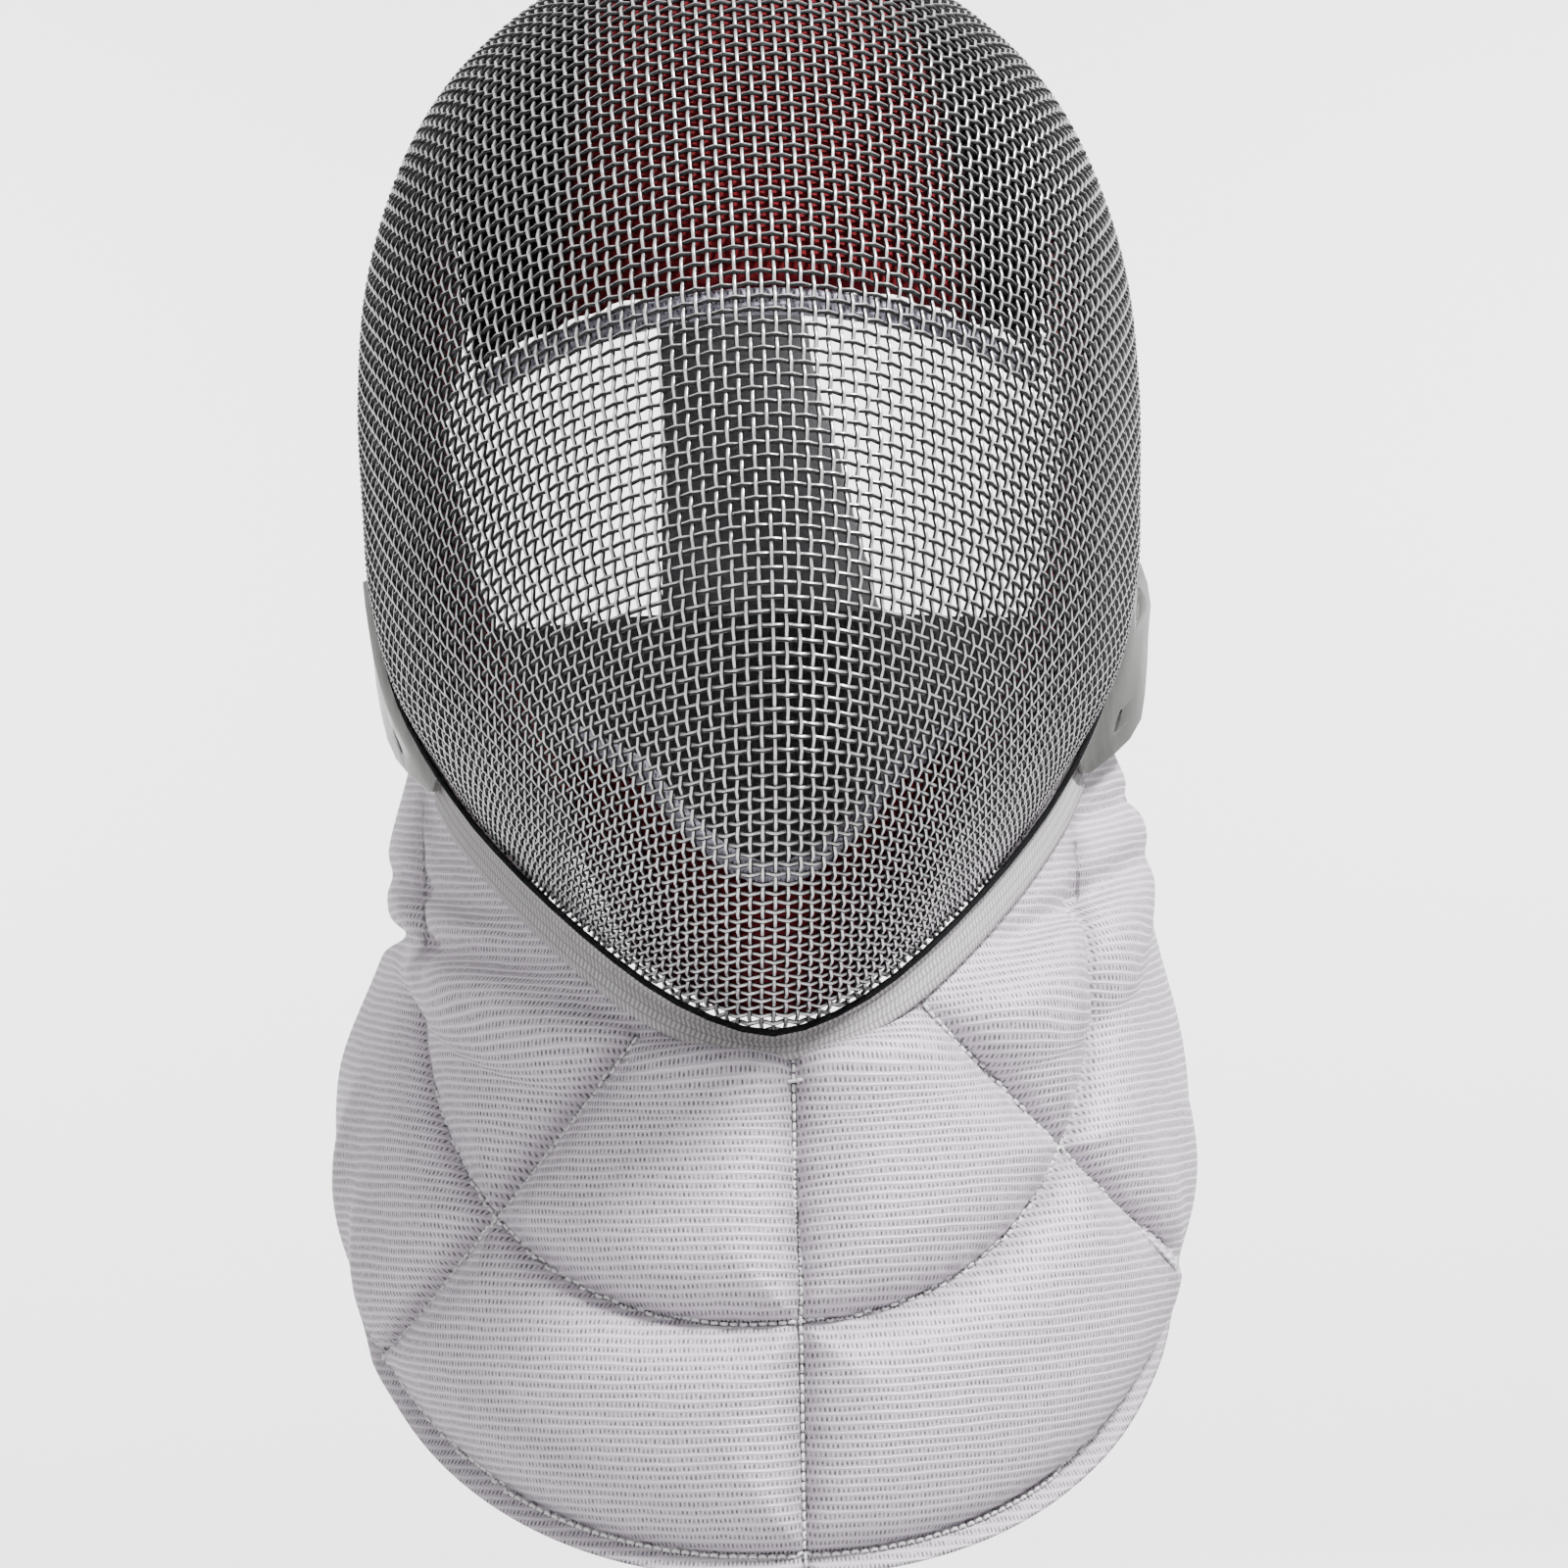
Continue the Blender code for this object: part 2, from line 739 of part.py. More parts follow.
def flange_tip(side, place, out):
    """Return the front edge of the clip's folded flange, resting on the wire."""
    frame = rim_frame(side * place)
    at = dome_point(frame.point - frame.off_edge * CLIP_FLANGE - DOME_CENTRE)
    return at + frame.outward * (SEAT_GAP + 0.3 + out)


def build_clip(name, side):
    """Build a sheet steel side clip: a folded flange and a flared plate with two slots."""
    outer = []
    inner = []
    for row in CLIP:
        backs = [row.reach * k / PLATE_STEPS for k in range(PLATE_STEPS + 1)]
        outer.append([flange_tip(side, row.rim_place, CLIP_THICK)]
                     + [clip_point(side, row.rim_place, back, CLIP_THICK) for back in backs])
        inner.append([flange_tip(side, row.rim_place, 0.0)]
                     + [clip_point(side, row.rim_place, back, 0.0) for back in backs])
    plate = slab(name, outer, inner, STEEL_PLATE, 25.0)
    for number, (place, back) in enumerate(SLOTS):
        cut_slot(plate, f"{name}_slot_{number}", side, place, back)
    return plate


def cut_slot(plate, name, side, place, back):
    """Cut one upright slot through a clip plate."""
    middle = clip_point(side, place, back, 0.5 * CLIP_THICK)
    above = clip_point(side, place + 0.2, back, 0.5 * CLIP_THICK)
    rise = (above - middle).normalized()
    run = (clip_point(side, place, back + 1.0, 0.5 * CLIP_THICK) - middle).normalized()
    through = rise.cross(run).normalized()
    bm = bmesh.new()
    ends = []
    half = 0.5 * (SLOT_LENGTH - SLOT_WIDTH)
    for depth in (-SLOT_CUT, SLOT_CUT):
        ring = []
        for k in range(SLOT_SIDES):
            turn = 2.0 * math.pi * (k + 0.5) / SLOT_SIDES
            lift = half if math.sin(turn) > 0.0 else -half
            spot = middle + rise * (lift + 0.5 * SLOT_WIDTH * math.sin(turn))
            spot = spot + run * (0.5 * SLOT_WIDTH * math.cos(turn)) + through * depth
            ring.append(bm.verts.new(spot))
        ends.append(ring)
    for k in range(SLOT_SIDES):
        n = (k + 1) % SLOT_SIDES
        bm.faces.new((ends[0][k], ends[0][n], ends[1][n], ends[1][k]))
    bm.faces.new(ends[0])
    bm.faces.new(ends[1])
    cutter = add_object(name, bm, STEEL_PLATE)
    cutter.hide_render = True
    cutter.display_type = "WIRE"
    cut = plate.modifiers.new("slot", "BOOLEAN")
    cut.operation = "DIFFERENCE"
    cut.object = cutter


def over_top(height_angle, side_angle):
    """Direction for pads that run over the crown and under the chin."""
    up = math.radians(height_angle)
    aside = math.radians(side_angle)
    return Vector((math.sin(aside), -math.cos(aside) * math.cos(up), math.cos(aside) * math.sin(up)))


def round_side(height_angle, side_angle):
    """Direction for pads that run round the sides of the head."""
    up = math.radians(height_angle)
    turn = math.radians(side_angle)
    return Vector((math.sin(turn) * math.cos(up), -math.cos(turn) * math.cos(up), math.sin(up)))


class PadPlan(NamedTuple):
    """How a lining pad is laid out: its edges, its direction rule and its size."""

    edges: tuple
    aim: object
    thick: float
    rows: int
    columns: int
    notch: float


def pad_ray(plan, down, across):
    """Return a pad's direction at shares of its height and its width."""
    first = plan.edges[0].height_angle
    last = plan.edges[-1].height_angle
    knots = [edge.height_angle for edge in plan.edges]
    high = first + (last - first) * down
    start = smooth_read(knots, [edge.inner_angle for edge in plan.edges], high)
    stop = smooth_read(knots, [edge.outer_angle for edge in plan.edges], high)
    aside = start + (stop - start) * across
    if plan.notch:
        dip = max(1.0 - (aside / CHIN_NOTCH_ANGLE) ** 2, 0.0)
        high -= plan.notch * dip * down
    return plan.aim(high, aside)


def pad_point(plan, down, across, depth):
    """Return a pad's point at a depth below the inner face of the dome."""
    on_dome = dome_point(pad_ray(plan, down, across))
    return on_dome - dome_normal(on_dome) * (WALL + PAD_GAP + depth)


def build_pad(name, plan, finish, side=1.0):
    """Build a lining pad that follows the dome and thins towards its edges."""
    outer = []
    inner = []
    for i in range(plan.rows + 1):
        row_out = []
        row_in = []
        for j in range(plan.columns + 1):
            down = i / plan.rows
            across = j / plan.columns
            edge = 1.0 - max(abs(2.0 * down - 1.0), abs(2.0 * across - 1.0)) ** PAD_EDGE_POWER
            depth = plan.thick * (PAD_EDGE_SHARE + (1.0 - PAD_EDGE_SHARE) * edge)
            for row, at in ((row_out, 0.0), (row_in, depth)):
                point = pad_point(plan, down, across, at)
                row.append(Vector((point.x * side, point.y, point.z)))
        outer.append(row_out)
        inner.append(row_in)
    return slab(name, outer, inner, finish, 50.0)


CROWN_PLAN = PadPlan(CROWN_PAD, over_top, CROWN_PAD_THICK, 10, 10, 0.0)
CHIN_PLAN = PadPlan(CHIN_PAD, over_top, CHIN_PAD_THICK, 6, 12, CHIN_NOTCH)
SIDE_PLAN = PadPlan(SIDE_PAD, round_side, SIDE_PAD_THICK, 12, 5, 0.0)


def build_edge_tape(name, plan, down):
    """Build the cloth tape along one edge of a lining pad."""
    step = 0.02 if down < 0.5 else -0.02
    frames = []
    for j in range(plan.columns * 2 + 1):
        across = j / (plan.columns * 2)
        at = pad_point(plan, down, across, 0.0)
        further = pad_point(plan, down + step, across, 0.0)
        off_edge = (at - further).normalized()
        frames.append(RimFrame(at, off_edge, dome_normal(dome_point(pad_ray(plan, down, across)))))
    deep = plan.thick * PAD_EDGE_SHARE + 1.2
    near = SEAT_GAP
    far = EDGE_TAPE_WIDTH
    profile = [
        (near, -0.6),
        (0.5 * (near + far), -0.3),
        (far, -1.2),
        (far + 0.4, -0.5 * deep),
        (far, -deep + 0.8),
        (0.5 * (near + far), -deep),
        (near, -deep + 0.3),
    ]
    return sweep(name, frames, [profile] * len(frames), SILVER_CLOTH)


def read_table(table, name, at):
    """Read one named column of a table smoothly, at a place counted in rows."""
    return smooth_read(range(len(table)), [getattr(row, name) for row in table], at)


def tongue_centre(at):
    """Return a point on the middle line of the tongue."""
    return Vector((read_table(TONGUE, "lean", at), read_table(TONGUE, "back", at),
                   height(read_table(TONGUE, "drop", at))))


def build_tongue():
    """Build the padded spring tongue from the crown down to the back strap."""
    last = len(TONGUE) - 1
    outer = []
    inner = []
    for i in range(TONGUE_STEPS + 1):
        at = i * last / TONGUE_STEPS
        run = tongue_centre(min(at + 0.1, last)) - tongue_centre(max(at - 0.1, 0.0))
        out = run.cross(Vector((-1.0, 0.0, 0.0))).normalized()
        near_end = min(0.5 * min(i, TONGUE_STEPS - i), 1.0)
        wide = read_table(TONGUE, "half_width", at)
        wide *= TONGUE_END_SHARE + (1.0 - TONGUE_END_SHARE) * near_end
        row_out = []
        row_in = []
        for share in TONGUE_ACROSS:
            crown = 0.5 * TONGUE_THICK * (1.0 - TONGUE_EDGE_THINNING * share ** 4)
            spot = tongue_centre(at) + Vector((wide * share, 0.0, 0.0))
            row_out.append(spot + out * crown)
            row_in.append(spot - out * crown)
        outer.append(row_out)
        inner.append(row_in)
    return slab("tongue", outer, inner, GREY_LINING, 50.0)


def strap_centre(at):
    """Return a point of the right half of the strap's line, seen from above."""
    return Vector((read_table(STRAP, "half_width", at), read_table(STRAP, "back", at), 0.0))


def build_back_strap():
    """Build the broad elastic strap from clip to clip behind the head."""
    last = len(STRAP) - 1
    outer = []
    inner = []
    for i in range(STRAP_STEPS + 1):
        share = 2.0 * i / STRAP_STEPS - 1.0
        at = abs(share) * last
        side = Vector((math.copysign(1.0, share), 1.0, 1.0))
        run = strap_centre(min(at + 0.05, last)) - strap_centre(max(at - 0.05, 0.0))
        out = Vector((-run.y, run.x, 0.0)).normalized() * (0.5 * STRAP_THICK)
        top = read_table(STRAP, "top_drop", at)
        bottom = read_table(STRAP, "bottom_drop", at)
        drops = [top + (bottom - top) * k / STRAP_ROWS for k in range(STRAP_ROWS + 1)]
        column = [strap_centre(at) + Vector((0.0, 0.0, height(drop))) for drop in drops]
        outer.append([(p + out) * side for p in column])
        inner.append([(p - out) * side for p in column])
    return slab("back_strap", outer, inner, BLACK_WEBBING, 50.0)


def main():
    """Build every piece of the mask."""
    remove_start_objects()
    build_wire_dome()
    build_rim_tape()
    build_rim_binding()
    build_edge_piping()
    build_bib()
    build_clip("clip_left", -1.0)
    build_clip("clip_right", 1.0)
    build_pad("forehead_pad", CROWN_PLAN, RED_LINING)
    build_edge_tape("forehead_binding", CROWN_PLAN, 0.0)
    build_pad("side_pad_left", SIDE_PLAN, RED_LINING, -1.0)
    build_pad("side_pad_right", SIDE_PLAN, RED_LINING)
    build_pad("chin_pad", CHIN_PLAN, RED_LINING)
    build_edge_tape("chin_binding", CHIN_PLAN, 1.0)
    build_tongue()
    build_back_strap()


main()
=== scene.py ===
"""Looks of the sabre fencing mask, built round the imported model.

Sizes in the tables are in millimetres. Heights are drops below the top of the dome. The mask
faces -Y, with +X to the right of someone who looks at its face. CROWN_RISE is how far the top of
the dome is above the mount, EAR is the place of the ears on the rim, and EAR_ANGLE their angle
round the neck.
"""

from __future__ import annotations

import json
import logging
import math
from dataclasses import dataclass, field
from enum import Enum
from functools import cached_property
from typing import Callable, Iterator, Sequence

import bmesh
import bpy
import numpy as np
from mathutils import Matrix, Vector
from mathutils.bvhtree import BVHTree

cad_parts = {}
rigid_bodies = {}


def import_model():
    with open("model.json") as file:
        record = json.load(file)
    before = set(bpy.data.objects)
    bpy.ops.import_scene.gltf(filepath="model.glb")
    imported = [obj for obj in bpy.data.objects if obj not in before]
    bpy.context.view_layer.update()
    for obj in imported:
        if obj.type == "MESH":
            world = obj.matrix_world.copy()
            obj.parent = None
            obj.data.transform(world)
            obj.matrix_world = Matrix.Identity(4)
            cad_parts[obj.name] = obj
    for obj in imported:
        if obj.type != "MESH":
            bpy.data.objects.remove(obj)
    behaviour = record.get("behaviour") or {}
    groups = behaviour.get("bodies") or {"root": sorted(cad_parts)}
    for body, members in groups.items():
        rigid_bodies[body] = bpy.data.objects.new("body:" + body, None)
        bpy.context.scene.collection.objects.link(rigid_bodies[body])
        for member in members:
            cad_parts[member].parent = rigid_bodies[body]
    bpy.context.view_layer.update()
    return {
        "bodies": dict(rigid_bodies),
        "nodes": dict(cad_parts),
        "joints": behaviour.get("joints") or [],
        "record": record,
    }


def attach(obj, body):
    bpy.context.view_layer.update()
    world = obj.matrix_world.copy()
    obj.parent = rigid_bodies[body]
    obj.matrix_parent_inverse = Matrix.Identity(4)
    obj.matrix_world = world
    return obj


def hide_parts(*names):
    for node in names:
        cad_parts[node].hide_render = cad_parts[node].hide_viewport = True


LOG = logging.getLogger("mask")
MM = 0.001
BODY = "root"
CROWN_RISE = 13.5
EAR = 6.0
EAR_ANGLE = 90.0
TINY = 1e-12
HALVINGS = 40
Array = np.ndarray
Piece = bpy.types.Object
Socket = bpy.types.NodeSocket


class Side(Enum):
    """Left or right of the mask, as seen by someone who looks at its face."""

    LEFT = -1.0
    RIGHT = 1.0


# Curves, the dome and its rim


def smooth_read(knots: Array, values: Array, at: Array) -> Array:
    """Read a smooth curve through values at rising knots.

    Args:
        knots: rising places of the values.
        values: one value, or one row of values, for each knot.
        at: places to read, kept inside the knots.

    Returns:
        The values at those places.
    """
    knots = np.asarray(knots, float)
    values = np.asarray(values, float)
    at = np.clip(np.asarray(at, float), knots[0], knots[-1])
    last = len(knots) - 1
    i = np.clip(np.searchsorted(knots, at) - 1, 0, last - 1)
    low = np.maximum(np.arange(last + 1) - 1, 0)
    high = np.minimum(np.arange(last + 1) + 1, last)
    run = knots[high] - knots[low]
    slopes = (values[high] - values[low]) / (run if values.ndim == 1 else run[:, None])
    span = knots[i + 1] - knots[i]
    t = (at - knots[i]) / span
    if values.ndim > 1:
        span, t = span[..., None], t[..., None]
    rise = values[i + 1] - values[i]
    bend_in = slopes[i] * span - rise
    bend_out = rise - slopes[i + 1] * span
    return values[i] + rise * t + t * (1 - t) * (bend_in * (1 - t) + bend_out * t)


def unit(vectors: Array) -> Array:
    """Return the vectors at length one."""
    return vectors / np.maximum(np.linalg.norm(vectors, axis=-1, keepdims=True), TINY)


def soft_step(values: Array, low: float, high: float) -> Array:
    """Rise smoothly from 0 at low to 1 at high."""
    t = np.clip((values - low) / (high - low), 0.0, 1.0)
    return t * t * (3.0 - 2.0 * t)


@dataclass(frozen=True)
class DomeShape:
    """Outer surface of the dome, as horizontal sections that are joined smoothly."""

    drops: tuple = (0, 6, 16, 34, 54, 82, 111, 140, 160, 184, 210, 236, 266, 280)
    half_widths: tuple = (0, 32.5, 51, 71.5, 84, 93.2, 96.2, 95.8, 94.5, 88.5, 73.5, 57, 39, 30)
    fronts: tuple = (0, 35, 55.5, 75.5, 91, 109.5, 122.3, 131.5, 135, 129.4, 118, 94.5, 55, 33)
    backs: tuple = (0, 41, 67, 97, 115, 131, 142, 148, 150, 148, 140, 125, 95, 70)
    front_powers: tuple = (2, 2, 2, 1.95, 1.9, 1.8, 1.75, 1.7, 1.7, 1.7, 1.65, 1.65, 1.65, 1.65)
    back_power: float = 2.2
    table_end: float = 24.0
    table_steps: int = 6000
    centre_drop: float = 142.0
    face_tilt: float = math.radians(8.0)
    outside: float = 230.0

    @cached_property
    def centre(self) -> Array:
        """Point that the dome is drawn round."""
        return np.array([0.0, 0.0, CROWN_RISE - self.centre_drop])

    @cached_property
    def pole(self) -> Array:
        """Direction from the centre to the middle of the face."""
        return np.array([0.0, -math.cos(self.face_tilt), math.sin(self.face_tilt)])

    @cached_property
    def tables(self) -> dict[str, Array]:
        """Close tables of each section size over the root of the drop."""
        roots = np.sqrt(np.array(self.drops, float))
        at = np.linspace(0.02, self.table_end, self.table_steps)
        kept = np.minimum(at, roots[-1])
        columns = {"at": at, "power": smooth_read(roots, self.front_powers, kept)}
        for name in ("half_widths", "fronts", "backs"):
            columns[name] = smooth_read(roots, getattr(self, name), kept) / at
        return columns

    def excess(self, points: Array) -> Array:
        """Tell how far points are outside the dome, in drop: below zero inside."""
        drop = CROWN_RISE - points[..., 2]
        root = np.sqrt(np.maximum(drop, 0.0))
        tables = self.tables
        wide, front, back, power = (
            np.interp(root, tables["at"], tables[name])
            for name in ("half_widths", "fronts", "backs", "power")
        )
        ahead = points[..., 1] < 0.0
        deep = np.where(ahead, front, back)
        power = np.where(ahead, power, self.back_power)
        across = (np.abs(points[..., 0]) / wide) ** power
        along = (np.abs(points[..., 1]) / deep) ** power
        return (across + along) ** (2.0 / power) - drop

    def gradient(self, points: Array, step: float = 0.05) -> Array:
        """Return the slope of the excess along X, Y and Z."""
        slopes = []
        for axis in range(3):
            offset = np.zeros(3)
            offset[axis] = step
            slopes.append((self.excess(points + offset) - self.excess(points - offset)) / (2 * step))
        return np.stack(slopes, -1)

    def normals(self, points: Array) -> Array:
        """Return outward normals at points of the surface."""
        return unit(self.gradient(points, 0.6))

    def reach(self, directions: Array) -> Array:
        """Return where rays from the centre meet the surface."""
        rays = unit(directions)
        near = np.zeros(rays.shape[:-1])
        far = np.full(rays.shape[:-1], self.outside)
        for _ in range(HALVINGS):
            middle = 0.5 * (near + far)
            out = self.excess(self.centre + rays * middle[..., None]) > 0.0
            far = np.where(out, middle, far)
            near = np.where(out, near, middle)
        return self.centre + rays * near[..., None]


@dataclass(frozen=True)
class RimLine:
    """Edge of the dome from the chin (place 0) over the ear (6) to the top of the back (13)."""

    dome: DomeShape
    half_widths: tuple = (0, 22, 43, 62, 75, 85, 92, 94.5, 95, 92, 84, 66, 37, 0)
    backs: tuple = (-53.2, -50.6, -40, -18, 4, 24, 36, 41, 45, 50, 57, 63, 67, 68)
    drops: tuple = (268, 261, 244, 223.2, 206.5, 188.5, 167.5, 145, 120, 92, 62, 39, 23, 16.5)
    nudge: float = 0.05
    samples: int = 900

    @property
    def end(self) -> int:
        """Place of the top of the back."""
        return len(self.drops) - 1

    def points(self, places: Array) -> Array:
        """Return rim points: places above zero are to the right, below zero to the left."""
        at = np.abs(places)
        rows = np.stack([self.half_widths, self.backs, CROWN_RISE - np.array(self.drops)], -1)
        spots = smooth_read(np.arange(self.end + 1), rows, at)
        spots = self.dome.reach(spots - self.dome.centre)
        spots[..., 0] *= np.where(places < 0.0, -1.0, 1.0)
        return spots

    def frames(self, places: Array) -> tuple[Array, Array, Array]:
        """Return points, directions off the dome's edge and outward normals."""
        places = np.asarray(places, float)
        points = self.points(places)
        outward = self.dome.normals(points)
        low = self.points(np.maximum(places - self.nudge, -self.end))
        high = self.points(np.minimum(places + self.nudge, self.end))
        off = unit(np.cross(unit(high - low), outward))
        flip = np.einsum("...k,...k", off, points - self.dome.centre + np.array([0, 60.0, 0])) < 0
        off[flip] *= -1.0
        return points, off, outward

    @cached_property
    def limits(self) -> tuple[Array, Array]:
        """Rising turns round the pole and the widest angle off it at each."""
        places = np.linspace(-self.end, self.end, self.samples, endpoint=False)
        turn, wide = self.angles(self.points(places))
        order = np.argsort(turn)
        return turn[order], wide[order]

    def angles(self, points: Array) -> tuple[Array, Array]:
        """Return the turn round the pole and the angle off it of points."""
        rays = unit(points - self.dome.centre)
        up = np.cross(self.dome.pole, [1.0, 0.0, 0.0])
        turn = np.arctan2(rays[..., 0], rays @ up)
        return turn, np.arccos(np.clip(rays @ self.dome.pole, -1.0, 1.0))

    def inside(self, points: Array, margin: float) -> Array:
        """Tell which points are on the wire side of the rim by at least a margin in mm."""
        turn, wide = self.angles(points)
        turns, limits = self.limits
        limit = np.interp(turn, turns, limits, period=2.0 * math.pi)
        distance = np.linalg.norm(points - self.dome.centre, axis=-1)
        return wide < limit - margin / distance


DOME = DomeShape()
RIM = RimLine(DOME)


# Meshes


def mesh_object(name: str, points: Array, quads: Array, caps: Array | None = None,
                uv: Array | None = None) -> Piece:
    """Make an object from points in millimetres and faces.

    Args:
        name: name of the piece.
        points: corner places.
        quads: four corner numbers a face.
        caps: corner numbers of further faces, all with the same count.
        uv: one flat place in millimetres for each corner.

    Returns:
        The linked object, shaded smooth.
    """
    mesh = bpy.data.meshes.new(name)
    parts = [np.asarray(quads, np.int32)] + ([np.asarray(caps, np.int32)] if caps is not None else [])
    loops = np.concatenate([part.ravel() for part in parts])
    counts = np.concatenate([np.full(len(part), part.shape[1]) for part in parts])
    starts = np.concatenate([[0], np.cumsum(counts)[:-1]]).astype(np.int32)
    mesh.vertices.add(len(points))
    mesh.vertices.foreach_set("co", (np.asarray(points) * MM).astype(np.float32).ravel())
    mesh.loops.add(len(loops))
    mesh.polygons.add(len(counts))
    mesh.polygons.foreach_set("loop_start", starts)
    mesh.polygons.foreach_set("vertices", loops)
    mesh.update(calc_edges=True)
    mesh.validate()
    if uv is not None:
        layer = mesh.uv_layers.new(name="flat")
        layer.data.foreach_set("uv", (np.asarray(uv)[loops] * MM).astype(np.float32).ravel())
    mesh.shade_smooth()
    obj = bpy.data.objects.new(name, mesh)
    bpy.context.collection.objects.link(obj)
    return obj


def grid_quads(rows: int, columns: int, start: int = 0, turned: bool = False) -> Array:
    """Return the faces of a grid of rows by columns corners, numbered from start."""
    i, j = np.meshgrid(np.arange(rows - 1), np.arange(columns - 1), indexing="ij")
    a = start + i * columns + j
    quads = np.stack([a, a + columns, a + columns + 1, a + 1], -1).reshape(-1, 4)
    return quads[:, ::-1] if turned else quads


def slab_object(name: str, outer: Array, inner: Array, flat: Array) -> Piece:
    """Close two matching grids of points into one solid with flat places.

    Args:
        name: name of the piece.
        outer: rows by columns by 3 outside points.
        inner: the matching inside points.
        flat: rows by columns by 2 flat places, used on both faces.

    Returns:
        The linked object. Outer faces use material slot 0 and the rest slot 1.
    """
    rows, columns = outer.shape[:2]
    count = rows * columns
    number = np.arange(count).reshape(rows, columns)
    ring = np.concatenate([number[0, :-1], number[:-1, -1], number[-1, :0:-1], number[:0:-1, 0]])
    after = np.roll(ring, -1)
    walls = np.stack([ring, after, after + count, ring + count], -1)
    quads = np.concatenate([grid_quads(rows, columns), walls, grid_quads(rows, columns, count, True)])
    points = np.concatenate([outer.reshape(-1, 3), inner.reshape(-1, 3)])
    obj = mesh_object(name, points, quads, uv=np.concatenate([flat.reshape(-1, 2)] * 2))
    slots = np.zeros(len(quads), np.int32)
    slots[(rows - 1) * (columns - 1) + len(ring):] = 1
    obj.data.polygons.foreach_set("material_index", slots)
    face_outward(obj)
    return obj


def face_outward(obj: Piece) -> None:
    """Turn the normals of a closed piece outwards."""
    bm = bmesh.new()
    bm.from_mesh(obj.data)
    bmesh.ops.recalc_face_normals(bm, faces=bm.faces)
    bm.to_mesh(obj.data)
    bm.free()


def tube_arrays(lines: Sequence[Array], normals: Sequence[Array], radius: float,
                sides: int) -> tuple[Array, Array, Array]:
    """Return the points, side faces and end faces of round wires along lines.

    Corner k of each ring is turned k parts of a full turn from the wire's side to its outside.
    """
    points, quads, caps = [], [], []
    start = 0
    turns = 2.0 * math.pi * np.arange(sides) / sides
    k = np.arange(sides)
    for line, normal in zip(lines, normals):
        along = unit(np.gradient(line, axis=0))
        aside = unit(np.cross(along, normal))
        up = np.cross(aside, along)
        ring = aside[:, None] * np.cos(turns)[:, None] + up[:, None] * np.sin(turns)[:, None]
        points.append((line[:, None] + radius * ring).reshape(-1, 3))
        base = start + np.arange(len(line) - 1)[:, None] * sides
        here, there = base + k, base + (k + 1) % sides
        quads.append(np.stack([here, here + sides, there + sides, there], -1).reshape(-1, 4))
        caps.append(np.stack([start + k, start + (len(line) - 1) * sides + k[::-1]]))
        start += len(line) * sides
    return np.concatenate(points), np.concatenate(quads), np.concatenate(caps)


def store_value(obj: Piece, name: str, values: Array) -> None:
    """Store one number for each vertex for the materials to read."""
    layer = obj.data.attributes.new(name, "FLOAT", "POINT")
    layer.data.foreach_set("value", values.astype(np.float32))


def settle(obj: Piece, slot: str, *nodes: str) -> Piece:
    """Fix a finished piece to the mask's body, hide the CAD nodes that it stands for and log its
    faces.
    """
    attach(obj, BODY)
    if nodes:
        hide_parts(*nodes)
    LOG.info("%s: %d faces", obj.name, len(obj.data.polygons))
    return obj


def only_select(obj: Piece) -> None:
    """Make one object the selected and active one."""
    bpy.ops.object.select_all(action="DESELECT")
    obj.select_set(True)
    bpy.context.view_layer.objects.active = obj


def shade_round(obj: Piece, edge: float | None = None) -> None:
    """Shade a piece smooth, except at edges sharper than an angle in degrees if one is given."""
    only_select(obj)
    if edge is None:
        bpy.ops.object.shade_smooth()
    else:
        bpy.ops.object.shade_smooth_by_angle(angle=math.radians(edge))


def copy_node(node: Piece, name: str) -> Piece:
    """Copy a CAD node to a free object whose split corners are joined again."""
    obj = bpy.data.objects.new(name, node.data.copy())
    obj.data.transform(node.matrix_world)
    obj.data.name = name
    obj.data.materials.clear()
    bpy.context.collection.objects.link(obj)
    only_select(obj)
    bpy.ops.object.mode_set(mode="EDIT")
    bpy.ops.mesh.select_all(action="SELECT")
    bpy.ops.mesh.remove_doubles(threshold=0.00002)
    bpy.ops.mesh.customdata_custom_splitnormals_clear()
    bpy.ops.mesh.normals_make_consistent(inside=False)
    bpy.ops.object.mode_set(mode="OBJECT")
    return obj


# Shader effects


